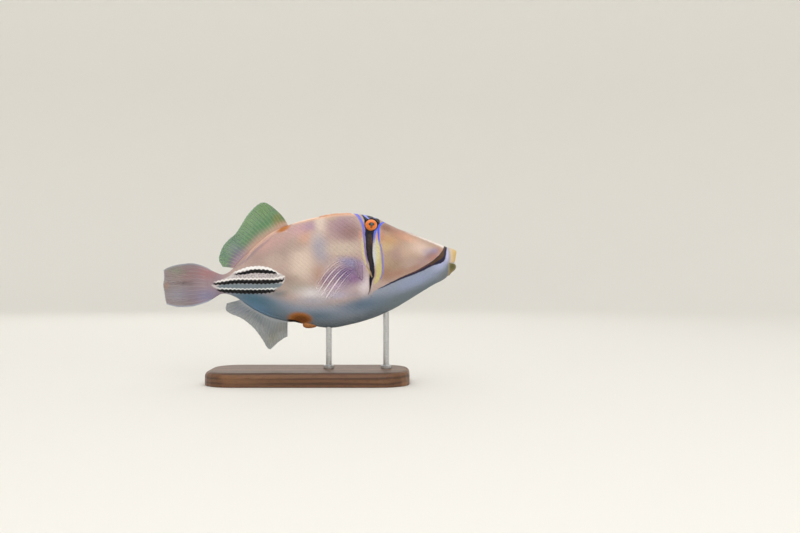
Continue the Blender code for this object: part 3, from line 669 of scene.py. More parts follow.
def paint_belly(paint):
    """The white belly painted with its shade: lavender grey along its upper edge and darker blue-grey below,
    cut off sharply by the mouth band.
    """
    edge = [
        (-88, 84), (-70, 81), (-50.5, 77.5), (-29, 73.5), (-7.7, 68.5), (18, 67.5), (35, 69), (48, 73),
        (59.4, 80.4), (71.5, 86.5), (90.6, 93.6), (99, 97.2), (106.3, 100.8), (112.3, 103.0), (114.5, 105.0),
        (116.7, 108), (117.6, 115), (119.4, 121),
    ]
    soft, crisp = paint.beyond("x", edge, 6.0, 1.0, 0.0), paint.beyond("x", edge, 0.35, 1.0, 0.0)
    ahead = paint.add("MapRange", span(paint.axes["x"], 50.0, 61.0), **SMOOTH)
    # Painted shade: below the edge the white belly is laid lavender grey.
    paint.lay("#959DAE", paint.add("Mix", {0: ahead, 2: soft, 3: crisp}, data_type="FLOAT"))
    lower = [(place, height - 10 - 0.05 * max(0, 50 - abs(place - 20))) for place, height in edge]
    # Painted shade: darker blue-grey towards the bottom of the belly.
    paint.lay("#6C7880", paint.beyond("x", lower, 8.0, 0.95, 0.0))
    # Patches of painted shade on the belly: blue-grey where it is deep, lavender where it is light.
    paint.draw(
        ("#5A788A", -42, 70, 42, 17, -25, 0.85),
        ("#4A7084", -46, 71.5, 28, 9, -18, 0.85),
        ("#5E88AE", -42, 63.5, 24, 7, -25, 0.6),
        ("#7C8284", -25, 76.5, 13, 5.5, 0, 0.8),
        ("#B2B0BC", 5, 70.5, 24, 6, 0, 0.8),
        ("#5A7288", 47, 67.5, 30, 10, 10, 0.85),
        ("#A099AC", 40, 75.5, 10, 4, 10, 0.5),
        ("#5E788A", 8, 57.5, 28, 7, 0, 0.7),
        ("#97A2C2", 92, 88, 36, 8, 24, 0.9),
        ("#B0B4D8", 112, 101.5, 13, 7, 40, 0.9),
        ("#C8C6EC", 118.2, 109, 2.8, 10, 0, 0.95),
        ("#74797C", 116, 92, 11, 7, 40, 0.75),
    )


def paint_fin_bases(paint):
    """Orange-brown front of the soft dorsal fin's base, with painted highlights along its fold and the edge
    of the back, and painted shade below the fold.
    """
    sheath = [(x, float(fin_crease(x) + back(x)) / 2) for x in (-54, -44, -34, -26, -18)]
    fold = along_line(fin_crease, -0.4, -55, -50, -44, -37, -28, -19)
    edge = along_line(back, -0.8, -60, -50, -40, -30, -18)
    hollow = along_line(fin_crease, -3.0, -62, -50, -44, -37, -28, -19)
    paint.draw(
        ("#C99A8C", "x", sheath, [(-54, 0.5), (-34, 2.2), (-18, 1.8)], 1.6, 0.6),
        # Painted highlights: a pale line along the fold and another along the edge of the back.
        ("#E0BCB2", "x", fold, [(-55, 0.3), (-37, 0.8), (-19, 0.7)], 0.8, 0.7),
        ("#E9C4AD", "x", edge, [(-60, -0.5), (-48, 0.6), (-18, 0.9)], 0.7, 0.75),
        ("#C07A44", -21.5, 131.6, 9, 3.2, 28, 1.0, 0.3),
        # Painted shade: mauve grey in the hollow below the fold.
        ("#A08A94", "x", hollow, [(-64, 0.4), (-48, 1.2), (-34, 0.2)], 1.6, 0.7),
    )


def paint_vent(paint):
    paint.draw(
        ("#B4702E", -7.2, 55.2, 13.5, 7, -4, 0.95, 0.5),
        ("#74431C", -6.5, 54.6, 11, 5.2, -4, 0.95, 0.3),
        # Painted shadow: near black in the vent, between the end of the pelvis and the anal fin.
        ("#140E0A", -12.5, 52.4, 7, 1.9, -13, 1.0, 0.6),
    )


def paint_tail_base(paint):
    """Rose above and lavender below, shared by the end of the flesh and the start of the tail fin."""
    behind = paint.add("MapRange", span(paint.axes["x"], -62.0, -78.0), **SMOOTH)
    ahead = paint.add("MapRange", span(paint.axes["x"], -110.0, -92.0), **SMOOTH)
    zone = paint.add("Math", {0: behind, 1: ahead}, operation="MULTIPLY")
    paint.lay("#A08C94", zone)
    paint.lay("#A87C7E", zone, paint.patch(-88, 94, 20, 10, 0, 0.9))
    paint.lay("#8A86A4", zone, paint.patch(-88, 74, 20, 10, 0, 0.9))


def paint_tail_root(paint):
    """Pale patch on the tail root, with three black rows of spines edged in white."""
    paint_tail_base(paint)
    patch = [
        (-83, 83.2), (-74, 83.2), (-64.2, 85.3), (-57.9, 86.7), (-50, 87.8), (-42.4, 88.1), (-34.6, 88.0),
        (-29.4, 87.7), (-25.8, 87.7), (-20, 88.7), (-18, 88.9),
    ]
    patch_half = [
        (-83, 0.2), (-74, 4.8), (-64.2, 8.2), (-57.9, 10.0), (-50, 11.2), (-42.4, 11.5), (-34.6, 10.7),
        (-29.4, 9.2), (-25.8, 7.0), (-20, 2.6), (-18, -0.8),
    ]
    paint.draw(("#D3CBCC", "x", patch, patch_half, 0.8))
    # Speckles some 1 mm across
    speckle = paint.add("TexNoise", {"Vector": paint.place, "Scale": 0.9, "Detail": 1.0})
    speckle = paint.add("MapRange", span(speckle, 0.45, 0.62))
    between_rows = [(-68, -0.8), (-50, 2.6), (-30, 2.0), (-22, -0.8)]
    paint.lay("#A9A0A4", speckle, paint.stroke("x", [(-66, 89), (-44, 91.6), (-24, 91)], between_rows, 0.8))
    lower = [(-79, 82), (-66, 82), (-44, 82), (-30, 82.8), (-22, 84.5)]
    lower_half = [(-80, -0.8), (-70, 2.6), (-40, 3.0), (-28, 2.6), (-20, -0.8)]
    paint.draw(("#76858F", "x", lower, lower_half, 1.2, 0.95))
    # Each row's edge waves in and out once for each spine
    scallop = paint.add("Math", {0: paint.axes["x"], 1: math.pi / SPINE_PITCH}, operation="MULTIPLY")
    for operation in ("SINE", "ABSOLUTE"):
        scallop = paint.add("Math", {0: scallop}, operation=operation)
    scallop = paint.add("Math", {0: scallop, 1: 0.7, 2: -0.42}, operation="MULTIPLY_ADD")
    upper_row, middle_row, lower_row = SPINE_ROWS
    for code, line, half, soft in (
        ("#FFFDFC",
         [(-66, 93.2), (-57.9, 95.9), (-50, 97.7), (-42.4, 98.2), (-34.6, 97.4), (-29.4, 95.6), (-24, 92.8)],
         [(-68, -0.6), (-58, 0.9), (-50, 1.25), (-42, 1.35), (-34, 1.2), (-27, 0.8), (-22, -0.5)], 0.5),
        ("#F8F4F2",
         [(-81, 85.8), (-70.9, 87.7), (-63, 88.7), (-42, 88.8), (-29.4, 88.9), (-24, 90.0), (-19, 91)],
         [(-82, -0.5), (-78, 0.5), (-63, 0.75), (-42, 0.7), (-28, 0.75), (-22, 0.7), (-18, -0.5)], 0.5),
        ("#F8FBFA", [(-79, 81.9), (-65.7, 80.1), (-47.5, 79.9), (-33, 80.3), (-26, 81.8)],
         [(-80, -0.4), (-72, 0.5), (-47, 0.6), (-33, 0.6), (-25, -0.4)], 0.5),
        ("#07080A", upper_row,
         [(-64, -0.3), (-60, 0.8), (-52, 1.35), (-44, 1.6), (-34, 1.5), (-28, 0.9), (-25, -0.3)], 0.3),
        ("#07080A", middle_row,
         [(-82.5, -0.3), (-79, 0.9), (-70, 1.4), (-58, 1.65), (-34, 1.7), (-26, 1.4), (-21, 0.9),
          (-19, -0.3)], 0.3),
        ("#07080A", lower_row,
         [(-79.5, -0.3), (-76, 0.9), (-66, 1.55), (-44, 1.75), (-34, 1.5), (-29, 0.8), (-26, -0.3)], 0.3),
    ):
        paint.lay(code, paint.stroke("x", line, half, soft, wave=scallop))


def paint_eye_bar(paint):
    """Dark bar from the crown through the eye to the gill opening, with its blue lines and yellow stripe."""
    bar = [
        (75.8, 51.0), (82.2, 52.9), (87.5, 53.4), (92.2, 54.4), (98, 54.4), (105.6, 53.0), (114.4, 52.0),
        (121.4, 52.1), (126, 52.3), (130, 53.6), (135, 54.4), (140, 53.4), (145.5, 49.5),
    ]
    bar_half = [
        (75.8, 0.1), (82.2, 0.6), (87.5, 1.4), (92.2, 2.1), (98, 2.1), (105.6, 2.5), (114.4, 2.8),
        (121.4, 3.2), (126, 3.9), (128.5, 4.5), (130.4, 5.2), (132.4, 6.0), (135, 6.5), (140, 6.4),
        (145.5, 7.5),
    ]
    core = [(98, 54.4), (107, 53.1), (116, 52.1), (124.9, 52.4)]
    behind = [(91, 54.2), (95.5, 51.9), (99.6, 50.0), (105, 48.1), (110, 47.0), (120.5, 46.3), (126, 46.1)]
    behind_half = [(91, 0.1), (97, 0.8), (106, 0.9), (118, 0.9), (125, 0.0)]
    tan = [(91, 54.4), (95, 52.6), (99, 50.4), (103, 49.2)]
    rear_line = [
        (98, 51.2), (106, 49.9), (112, 48.7), (118.4, 48.1), (124, 47.7), (129, 47.5), (132, 47.1),
        (135.2, 46.2), (139.1, 44.3), (141.4, 43.0), (144.6, 39.8), (146.5, 38),
    ]
    rear_half = [
        (98, -0.1), (106, 0.3), (112, 0.45), (118, 0.55), (128, 0.8), (135, 1.0), (141, 1.3), (146.5, 1.6),
    ]
    upper = [(119, 48.0)] + [spot for spot in rear_line if spot[0] > 121]
    upper_half = [(119, 0.1), (124, 0.45), (128, 0.65), (135, 0.85), (141, 1.2), (146.5, 1.5)]
    crown_line = [(139.2, 52.2), (140.6, 50.3), (142.2, 48.6), (143.8, 46.9), (145.5, 45.5)]
    pale = [(98, 56.9), (104, 56.4), (110, 56.1), (115, 56.2), (119, 56.5), (123, 56.5)]
    near_line = [(115, 55.9), (119, 56.0), (123, 56.3), (127.9, 56.9), (131, 58.6)]
    stripe = [
        (84.5, 56.4), (87, 58.0), (90, 59.2), (94, 60.1), (99.8, 60.1), (105.6, 59.8), (111.4, 59.2),
        (116.7, 59.2), (121, 58.7), (127, 58.5),
    ]
    stripe_half = [
        (84.5, 0.2), (87, 1.5), (90, 2.1), (94, 2.2), (99.8, 2.3), (105.6, 2.2), (111.4, 2.1), (116.7, 1.4),
        (121, 0.9), (127, 0.5),
    ]
    front_line = [
        (87.5, 61.4), (91, 62.4), (96.8, 63.5), (105, 63.2), (112, 62.6), (116.7, 61.5), (120, 60.4),
        (124, 59.9), (129.5, 59.7), (132.5, 60.0), (135.2, 61.5), (137.4, 64.6), (138.5, 66),
    ]
    front_half = [
        (87.5, 0.0), (92, 0.5), (105, 0.7), (112, 0.6), (118, 0.6), (126, 0.8), (132, 1.0), (138.5, 1.2),
    ]
    upper_front = [spot for spot in front_line if spot[0] > 118]
    paint.draw(
        ("#DB9B86", 44.8, 126, 3, 8, 0, 0.6),
        ("#0D0A1E", "z", bar, bar_half, 0.45),
        ("#35261A", "z", core, [(101, 0.2), (108, 0.8), (118, 1.2), (126, 1.5)], 0.8, 0.8),
        ("#5A3418", 53.9, 121, 1.2, 7, 0, 0.7),
        ("#D2C496", "z", behind, behind_half, 0.6, 0.9),
        ("#A68A66", "z", tan, [(91, 0.2), (96, 0.7), (103, -0.2)], 0.5, 0.85),
        ("#7668BE", "z", rear_line, rear_half, 0.4),
        ("#777CE4", "z", upper, upper_half, 0.4),
        ("#8F97F4", "z", crown_line, [(139.2, 0.5), (142, 1.1), (145.5, 1.3)], 0.35),
        ("#B4BDF4", 56.4, 141.3, 2.6, 1.2, -25, 0.9, 0.3),
        ("#CBD3DE", "z", pale, [(98, -0.4), (104, 0.6), (110, 0.95), (119, 0.9), (123, 0.5)], 0.5),
        ("#5A70E0", "z", near_line, [(115, -0.3), (119, 0.3), (124, 0.8), (131, 0.9)], 0.35),
        ("#CCC184", "z", stripe, stripe_half, 0.45),
        ("#DCD3B4", 58.4, 112, 3.4, 16, 4, 0.9),
        ("#D3D2D6", 57.0, 107, 1.5, 13, 2, 0.8),
        ("#E69878", 58.4, 124.5, 1.5, 5, 0, 0.95),
        ("#8480C8", "z", front_line, front_half, 0.35),
        ("#4E66F0", "z", upper_front, [(120, 0.1), (123, 0.6), (132, 0.9), (138.5, 1.1)], 0.3),
    )


def paint_mouth_band(paint):
    """Dark band from over the snout, behind the lips and back to the cheek, brown inside, navy outside."""
    rear = [
        (60, 80.6), (63, 81.8), (72.1, 86.3), (80.3, 90.0), (89, 93.5), (97.8, 97.6), (103, 100.6),
        (107, 102.9), (111.5, 105.6),
    ]
    rear_half = [
        (60, 0.1), (63, 0.4), (72.1, 0.75), (80.3, 0.95), (89, 1.15), (97.8, 1.6), (103, 1.9), (107, 2.5),
        (111.5, 3.4), (113.5, 1.0),
    ]
    front = [(102.7, 110.6), (105, 112.2), (108, 113.6), (111, 115.0), (115, 116.5), (118, 117)]
    front_half = [(102.7, 2.8), (105, 3.6), (108, 3.2), (111, 2.3), (115, 1.4), (118, 1.3)]
    inner = [
        (101.5, 104.6), (104, 107.9), (106, 110.8), (108, 112.8), (110.6, 114.0), (113, 115.1), (116, 116.2),
    ]
    inner_half = [(101.5, 1.1), (104, 1.9), (106, 2.2), (108, 2.0), (110.6, 1.4), (113, 0.8), (116, 0.4)]
    upper_edge = [(72, 87.0), (80, 90.7), (90, 94.7), (97.8, 98.7), (103, 101.7)]
    paint.draw(
        ("#1E1A38", "x", rear, rear_half, 0.4),
        ("#1E1A38", "z", front, front_half, 0.4),
        ("#54381E", "z", inner, inner_half, 0.8, 0.95),
        ("#5E3A34", "x", upper_edge, [(74, -0.1), (90, 0.4), (103, 0.7)], 0.5, 0.85),
    )


def paint_lips(paint):
    """Cream upper lip, yellow in front; the lower lip is yellow too, painted olive as its shade, with painted
    shade in the gape.
    """
    edge = [(91, 118.2), (94, 119.6), (99, 119.6), (102, 119.8), (108, 120.2), (113, 119.6), (116, 118.4)]
    lips = paint.beyond("z", edge, 1.6)
    paint.lay("#D3BEA6", lips)
    paint.lay("#D9B878", paint.beyond("z", [(99, 122.4), (105, 122.6), (113, 122.6)], 1.8, 0.0, 0.95))
    # Painted shade: the yellow lower lip laid olive.
    paint.lay("#86784A", lips, paint.beyond("x", [(110, 101.8), (124, 102.3), (130, 102.6)], 0.8, 1.0, 0.0))
    # Painted shade: darker olive deep on the lower lip.
    paint.lay("#4F5530", lips, paint.patch(122.5, 99.5, 6, 4.5, 20, 0.85))
    # Painted shade: a dark line in the gape between the lips.
    gape_shade = [(118.5, 101.9), (124, 102.3), (130, 102.4)]
    paint.lay("#2E2418", lips, paint.stroke("x", gape_shade, [(119.5, 0.1), (130, 0.3)], 0.3))


def make_skin_finish(settings):
    """Living fish skin: thin moist mucus over matt scales, satin with a soft wet highlight."""
    skin = Paint("moist_scaled_skin", settings.ground_colour)
    for layer in (paint_flank, paint_cheek, paint_belly, paint_fin_bases, paint_vent, paint_tail_root,
                  paint_eye_bar, paint_mouth_band, paint_lips):
        layer(skin)
    # The mucus is uneven at 0.9 mm
    grain = skin.add("TexNoise", {"Vector": skin.place, "Scale": 1.1, "Detail": 4.0})
    shade = skin.add("MapRange", span(grain, 0.3, 0.7, 0.93, 1.06))
    tone = skin.add("Attribute", {}, "Fac", attribute_name="tone")
    shade = skin.add("Math", {0: shade, 1: tone}, operation="ADD")
    skin.colour = skin.add("VectorMath", {0: skin.colour, "Scale": shade}, operation="SCALE")
    rough = span(grain, 0.3, 0.7, settings.roughness - 0.06, settings.roughness + 0.08)
    return skin.seal({
        "Roughness": skin.add("MapRange", rough), "IOR": 1.4, "Specular IOR Level": 0.38,
        "Coat Weight": 0.1, "Coat Roughness": 0.28, "Coat IOR": 1.36,
    }, grain, 0.25, 0.00012)


def make_thorn_finish():
    """Bare horny spine: matt keratin with a faint shine on its ridges, and a painted highlight along its top.
    """
    horn = Paint("bare_spine_skin", "#EDBB9C", ripple=0.2)
    # The horn is rough at 0.6 mm
    grain = horn.add("TexNoise", {"Vector": horn.place, "Scale": 1.6, "Detail": 5.0})
    horn.lay("#CF9C82", horn.add("MapRange", span(grain, 0.42, 0.62)))
    # Painted highlight: a pale line along the top of the folded spines.
    horn.draw(("#F0D2BC", "x", [(8, 143.4), (24, 145.6), (37, 145.8)], [(8, 0.5), (37, 0.5)], 0.5, 0.5))
    return horn.seal({"Roughness": 0.52, "IOR": 1.45}, grain, 0.6, 0.0003)


def make_pelvic_finish():
    """Rough bony skin at the end of the pelvis, orange brown in its hollows and paler on its tubercles."""
    bone = Paint("rough_pelvic_scutes", "#A8672E", ripple=0.2)
    bone.lay("#D9A672", bone.add("Attribute", {}, "Fac", attribute_name="knob"))
    # Pits 0.7 mm across
    grain = bone.add("TexNoise", {"Vector": bone.place, "Scale": 1.4, "Detail": 4.0})
    bone.lay("#5E3417", bone.add("MapRange", span(grain, 0.52, 0.7, 0.0, 0.8)))
    return bone.seal({"Roughness": 0.55, "IOR": 1.42}, grain, 0.5, 0.0002)


def seal_web(web, cover, rays=None, rough=0.38, through_light=0.35):
    """Ends a thin web of skin, moist and satin: light passes through it, and what is behind it shows.

    cover has two places between root and edge and the web's opacity at each. rays is a mask for what
    hides more than the web does.
    """
    reach = web.add("Attribute", {}, "Fac", attribute_name="reach")
    rays = rays or web.add("Attribute", {}, "Fac", attribute_name="ray")
    surface = web.add("BsdfPrincipled", {
        "Base Color": web.colour, "Roughness": rough, "IOR": 1.38, "Coat Weight": 0.15, "Coat Roughness": 0.2,
    })
    through = web.add("BsdfTranslucent", {"Color": web.colour})
    thinness = web.add("MapRange", span(reach, 0.08, 0.6, 0.0, through_light), **SMOOTH)
    body = web.add("MixShader", {0: thinness, 1: surface, 2: through})
    opacity = {0: web.add("MapRange", span(reach, *cover), **SMOOTH), 1: rays}
    opacity = web.add("Math", opacity, operation="MAXIMUM")
    shown = web.add("MixShader", {0: opacity, 1: web.add("BsdfTransparent", {}), 2: body})
    web.tree.links.new(shown, web.output)
    return web.material


def make_dorsal_finish(settings):
    """Translucent web of the soft dorsal fin: sea green, pink brown at its base, with fine pale rays."""
    web = Paint("green_fin_web", "#64966A", ripple=0.9)
    web.draw(
        ("#5E9446", -39, 148, 14, 11, 30, 0.9),
        ("#6C9C62", -52, 138, 13, 9, 40, 0.8),
        ("#44826A", -66, 122, 13, 10, 45, 0.8),
        ("#44826A", -74, 110, 8, 11, 0, 0.85),
        ("#888CA0", -62, 112, 12, 12, 45, 0.8),
        ("#9A8298", -62, 103, 13, 9, 40, 0.9),
        ("#AE9A92", -48, 118, 24, 8, 50, 0.9),
        ("#8E8A46", -27, 141, 6, 10, -40, 0.8),
        ("#A07A4A", -24, 135, 9, 6, 30, 0.85),
        ("#C3988C", "reach", 0.36, 0.0, 0.85),
        ("#94809A", -61, 106, 19, 8, 48, 0.8),
        ("#A9BE8C", "ray", 0.2, 0.9, 0.4),
        ("#B9CDBD", "reach", 0.965, 1.0, 0.6),
    )
    return seal_web(web, (0.05, 0.75, 1.0, settings.web_cover))


def make_anal_finish(settings):
    """Translucent grey web of the anal fin, olive at its front point, with close pale rays."""
    web = Paint("grey_fin_web", "#8B9296", ripple=0.9)
    web.draw(
        ("#8C8C7A", -31, 37, 10, 9, 40, 0.8),
        ("#93908A", -24, 46, 8, 8, 40, 0.7),
        ("#7C8890", -44, 55, 12, 9, 0, 0.6),
        ("#8890A2", -60, 62, 14, 8, 0, 0.7),
        ("#92959E", -58, 70, 16, 5, -30, 0.7),
        ("#A9AEB4", "reach", 0.14, 0.0, 0.6),
        ("#A8ACAC", "ray", 0.2, 0.9, 0.5),
        ("#C3CAC6", "reach", 0.955, 1.0, 0.6),
    )
    return seal_web(web, (0.05, 0.75, 1.0, settings.web_cover))


def make_tail_finish(settings):
    """Translucent tail web: salmon above, lavender below, blue white at both edges, brown in the middle."""
    web = Paint("rose_fin_web", "#96868A", ripple=0.9)
    web.draw(
        ("#AE7E7E", -98, 92, 24, 10, 0, 0.9),
        ("#94807C", -114, 92, 14, 9, 0, 0.8),
        ("#644A4E", -106, 85.2, 26, 2.6, 0, 0.85),
        ("#7C846E", -114, 96, 14, 5, -10, 0.75),
        ("#968CA2", -98, 76, 26, 10, 0, 0.9),
        ("#9490A0", -113, 75, 16, 9, 0, 0.8),
        ("#B48456", -122, 83, 4, 5, 0, 0.6),
    )
    paint_tail_base(web)
    web.draw(
        ("#A9B4C0", "across", 0.06, 0.0, 0.8),
        ("#B4C0D4", "across", 0.94, 1.0, 0.85),
        ("#B8AEB2", "ray", 0.2, 0.9, 0.3),
        ("#B4BCC0", "reach", 0.965, 1.0, 0.6),
    )
    return seal_web(web, (0.1, 0.8, 1.0, settings.web_cover))


def make_pectoral_finish(settings):
    """Nearly clear web of the pectoral fins on pale pink rays, with painted glints: chosen rays are made to
    show near their tips, as where they catch the light.
    """
    web = Paint("clear_fin_web", "#D9C4D2", ripple=0.9)
    web.draw(("#FBF0F5", "ray", 0.2, 0.8, 1.0), ("#AA8FAC", "reach", 0.3, 0.05, 0.95))
    ray = web.add("Attribute", {}, "Fac", attribute_name="ray")
    # The shine mark holds painted glints, which make the chosen rays opaque near their tips.
    shine = web.add("Attribute", {}, "Fac", attribute_name="shine")
    rays = {0: web.add("MapRange", span(ray, 0.15, 0.7), **SMOOTH), 1: shine}
    rays = web.add("Math", rays, operation="MULTIPLY")
    return seal_web(web, (0.02, 0.22, 0.7, settings.clear_web_cover), rays, rough=0.3, through_light=0.05)


def make_eye_finish(settings, side):
    """Living eye: orange iris with a peach ring and a long dark green pupil with a painted greenish glint,
    under one clear wet surface.
    """
    eye = Finish(f"wet_orange_eye_{SIDES[side]}", settings.iris_colour)
    centre, _, _, _ = eye_axes(side)
    turned = eye.add("Mapping", {
        "Vector": eye.add("TexCoord", {}, "Object"), "Location": tuple(float(c) * MM for c in centre),
        "Rotation": (side * EYE_TILT, 0.0, 0.0), "Scale": (MM, MM, MM),
    }, vector_type="TEXTURE")

    def oval(x, z, length, height):
        """Reach from an oval's middle, 1 at its edge."""
        place = {0: turned, 1: (1 / length, 0.0, 1 / height), 2: (-x / length, 0.0, -z / height)}
        return eye.add("VectorMath", {0: eye.add("VectorMath", place, operation="MULTIPLY_ADD")}, "Value",
                       operation="LENGTH")

    parts = eye.add("SeparateXYZ", {0: turned}).node.outputs
    angle = eye.add("Math", {0: parts[2], 1: parts[0]}, operation="ARCTAN2")
    reach = oval(0.0, 0.0, 1.0, 1.0)
    spoke = eye.add("CombineXYZ", {0: angle, 1: reach})
    streak = eye.add("VectorMath", {0: spoke, 1: (7.0, 0.55, 1.0)}, operation="MULTIPLY")
    # Fibres 0.3 mm wide halfway out to the rim
    fibre = eye.add("TexNoise", {"Vector": streak, "Scale": 1.6, "Detail": 3.0})
    pupil = oval(0.4, 0.15, 2.3, 1.5)
    eye.shade(
        ("#F79A2C", fibre, 0.48, 0.66, 0.8),
        ("#A33E0C", fibre, 0.46, 0.34, 0.6),
        ("#5E4A14", oval(0.3, -1.9, 1.5, 2.0), 1.0, 0.4, 0.9),
        ("#F2A66C", reach, 4.1, 4.6, 0.7),
        ("#2A1A12", reach, 4.8, 5.3, 1.0),
        ("#7A3C12", pupil, 1.3, 1.0, 0.7),
        ("#0E1A12", pupil, 1.06, 0.94, 1.0),
        # Painted glint: a paler green spot in the upper front of the pupil.
        ("#2E4A38", oval(0.5, 0.45, 1.6, 0.9), 1.0, 0.2, 0.6),
    )
    return eye.seal({
        "Roughness": 0.35, "IOR": 1.38, "Coat Weight": 1.0, "Coat Roughness": 0.03, "Coat IOR": 1.38,
    })


def make_walnut(settings):
    """Oiled walnut, planed and rubbed with oil: open straight grain and a low satin sheen."""
    wood = Finish("oiled_walnut", settings.wood_colour)
    # Year rings some 4 mm apart round a heart 87 mm below the board, fibres 0.3 mm wide
    place = wood.add("TexCoord", {}, "Object")
    rings_at = {0: place, 1: (60.0, 900.0, 900.0), 2: (0.0, 26.0, 78.0)}
    rings_at = wood.add("VectorMath", rings_at, operation="MULTIPLY_ADD")
    swirl = wood.add("TexNoise", {"Vector": rings_at, "Scale": 0.11, "Detail": 2.0})
    rings = wood.add(
        "TexWave", {"Vector": rings_at, "Scale": 0.09, "Distortion": 9.0, "Detail": 3.0, "Detail Scale": 0.5},
        "Fac", wave_type="RINGS", rings_direction="X",
    )
    fibres_at = wood.add("VectorMath", {0: place, 1: (140.0, 3200.0, 3200.0)}, operation="MULTIPLY")
    fibres = wood.add("TexNoise", {"Vector": fibres_at, "Scale": 1.0, "Detail": 3.0})
    wood.shade(
        ("#4A3020", rings, 0.35, 0.95, 0.85),
        ("#9A6E48", swirl, 0.5, 0.75, 0.5),
        ("#35200F", fibres, 0.56, 0.7, 0.7),
    )
    rough = wood.add("MapRange", span(fibres, 0.3, 0.7, 0.36, 0.5), **SMOOTH)
    return wood.seal({"Roughness": rough, "IOR": 1.48}, fibres, 0.35, 0.0001)


def make_steel(settings):
    """Stainless steel rod, turned and brushed round: fine rings that spread the light."""
    steel = Finish("brushed_stainless_steel", settings.steel_colour)
    # Brush marks of 0.15 mm, drawn at 0.25 mm so that they show
    marks_at = {0: steel.add("TexCoord", {}, "Object"), 1: (120.0, 120.0, 4000.0)}
    marks_at = steel.add("VectorMath", marks_at, operation="MULTIPLY")
    marks = steel.add("TexNoise", {"Vector": marks_at, "Scale": 1.0, "Detail": 2.0})
    rough = steel.add("MapRange", span(marks, 0.3, 0.7, 0.24, 0.38), **SMOOTH)
    return steel.seal({"Metallic": 1.0, "Roughness": rough}, marks, 0.2, 0.00005)


def make_backdrop_finish(settings):
    """Matt painted board, smooth and pale."""
    return Finish("pale_matt_board", settings.board_colour).seal({"Roughness": 0.85, "IOR": 1.45})


# Body


def skin_places():
    """Places of the skin's columns along the body and of its rows round it."""
    eye_v = FLANK.v_of(EYE_CENTRE[0], EYE_CENTRE[2])
    mouth_v = FLANK.v_of(SNOUT_END, MOUTH_LEVEL)
    columns = spread(SKIN_COLUMNS, FLESH_END, SNOUT_END, lambda x: np.select(
        [x < -60, x < 40, x < 62], [1 / 0.7, 1 / 1.1, 1 / 0.35], 1 / 0.55))
    rows = spread(SKIN_ROWS, 0.0, 1.0, lambda v: (
        1 + 1.8 * bump(v - eye_v, 0.07) + 3.0 * bump(v - 1, 0.025) + 1.2 * bump(v - mouth_v, 0.03)))
    return columns, rows


def flank_skin(side, columns, rows):
    x, v = np.meshgrid(columns, rows)
    return FLANK.at(x, v) * (1, side, 1), grid_faces(len(rows), len(columns)), uv_of(x, v, side)


def lip_skin(rows):
    """The lips and the front of the snout, from one flank round to the other."""
    edge = FLANK.at(np.full_like(rows, SNOUT_END), rows)[:, None]
    turn = np.linspace(0, math.pi, LIP_COLUMNS + 1)
    height = edge[..., 2]
    slit = MOUTH_DEPTH * bump(height - MOUTH_LEVEL, 0.22) * ease(np.sin(turn) / 0.35)
    x = edge[..., 0] + lip_reach(height) * np.abs(np.sin(turn)) ** 0.8 - slit
    y = -edge[..., 1] * np.sign(np.cos(turn)) * np.abs(np.cos(turn)) ** 0.9
    points = np.stack(np.broadcast_arrays(x, y, height), axis=-1)
    uv = np.stack(np.broadcast_arrays(0.93 + 0.06 * turn / math.pi, 0.01 + 0.98 * rows[:, None]), axis=-1)
    return points, grid_faces(len(rows), len(turn)), uv


def tail_end_skin(rows):
    edge = FLANK.at(np.full_like(rows, FLESH_END), rows)
    uv = np.stack(np.meshgrid((0.003, 0.006), 0.01 + 0.98 * rows), axis=-1)
    return np.stack((edge, edge * (1, -1, 1)), axis=1), grid_faces(len(rows), 2), uv


def eye_lid(side, skin):
    """The ring of soft skin that holds the eyeball, running out into the skin round it."""
    centre, forward, up, out = eye_axes(side)
    turns, rings = 96, len(LID) + 2
    points = []
    for ray in circle(turns, forward, up):
        hit, _, _, _ = skin.ray_cast(Vector(centre + ray * LID_REACH + out * 14), Vector(-out))
        foot = float((np.array(hit) - centre) @ out) if hit else 0.0
        for radius, height in LID:
            share = 0.6 * ease((radius - LID_RIM) / (LID_REACH - LID_RIM))
            points.append(centre + ray * radius + out * (height + (min(foot, height) - height) * share))
        points.append(centre + ray * (LID_REACH - 0.3) + out * (foot + 0.08))
        points.append(centre + ray * (LID_REACH + 0.3) + out * (foot - 0.35))
    uv = ring_uv(turns, rings, side, 0.86, 0.0, 0.006, 0.46 / turns)
    return np.reshape(points, (turns, rings, 3)), grid_faces(turns, rings, wrap_rows=True), uv


def nostril_rim(side, x, height, index):
    """A raised rim round one nostril."""
    v = FLANK.v_of(x, height)
    centre, out = FLANK.at(x, v) * (1, side, 1), FLANK.normal(x, v) * (1, side, 1)
    forward = np.cross((0.0, 0.0, 1.0), out)
    forward /= np.linalg.norm(forward)
    turns, sides = 20, 8
    ways = circle(turns, forward, np.cross(out, forward))[:, None]
    section = np.linspace(0, 2 * math.pi, sides, endpoint=False)[:, None]
    points = centre + ways * (NOSTRIL_RADIUS + 0.2 * np.cos(section)) + out * (0.06 + 0.2 * np.sin(section))
    uv = ring_uv(turns, sides, side, 0.905, 0.1 * index, 0.002, 0.004)
    return points, grid_faces(turns, sides, wrap_rows=True, wrap_columns=True), uv


def build_skin(finish):
    columns, rows = skin_places()
    flanks = {side: flank_skin(side, columns, rows) for side in SIDES}
    parts = [flanks[-1], lip_skin(rows), flanks[1], tail_end_skin(rows)]
    for side, (points, faces, _) in flanks.items():
        parts.append(eye_lid(side, BVHTree.FromPolygons(points.reshape(-1, 3).tolist(), faces)))
        parts += [nostril_rim(side, *place, index) for index, place in enumerate(NOSTRILS)]
    points, faces, uv = join(parts)
    return add_piece("scaled_skin", points, faces, finish, uv, weld=0.004)


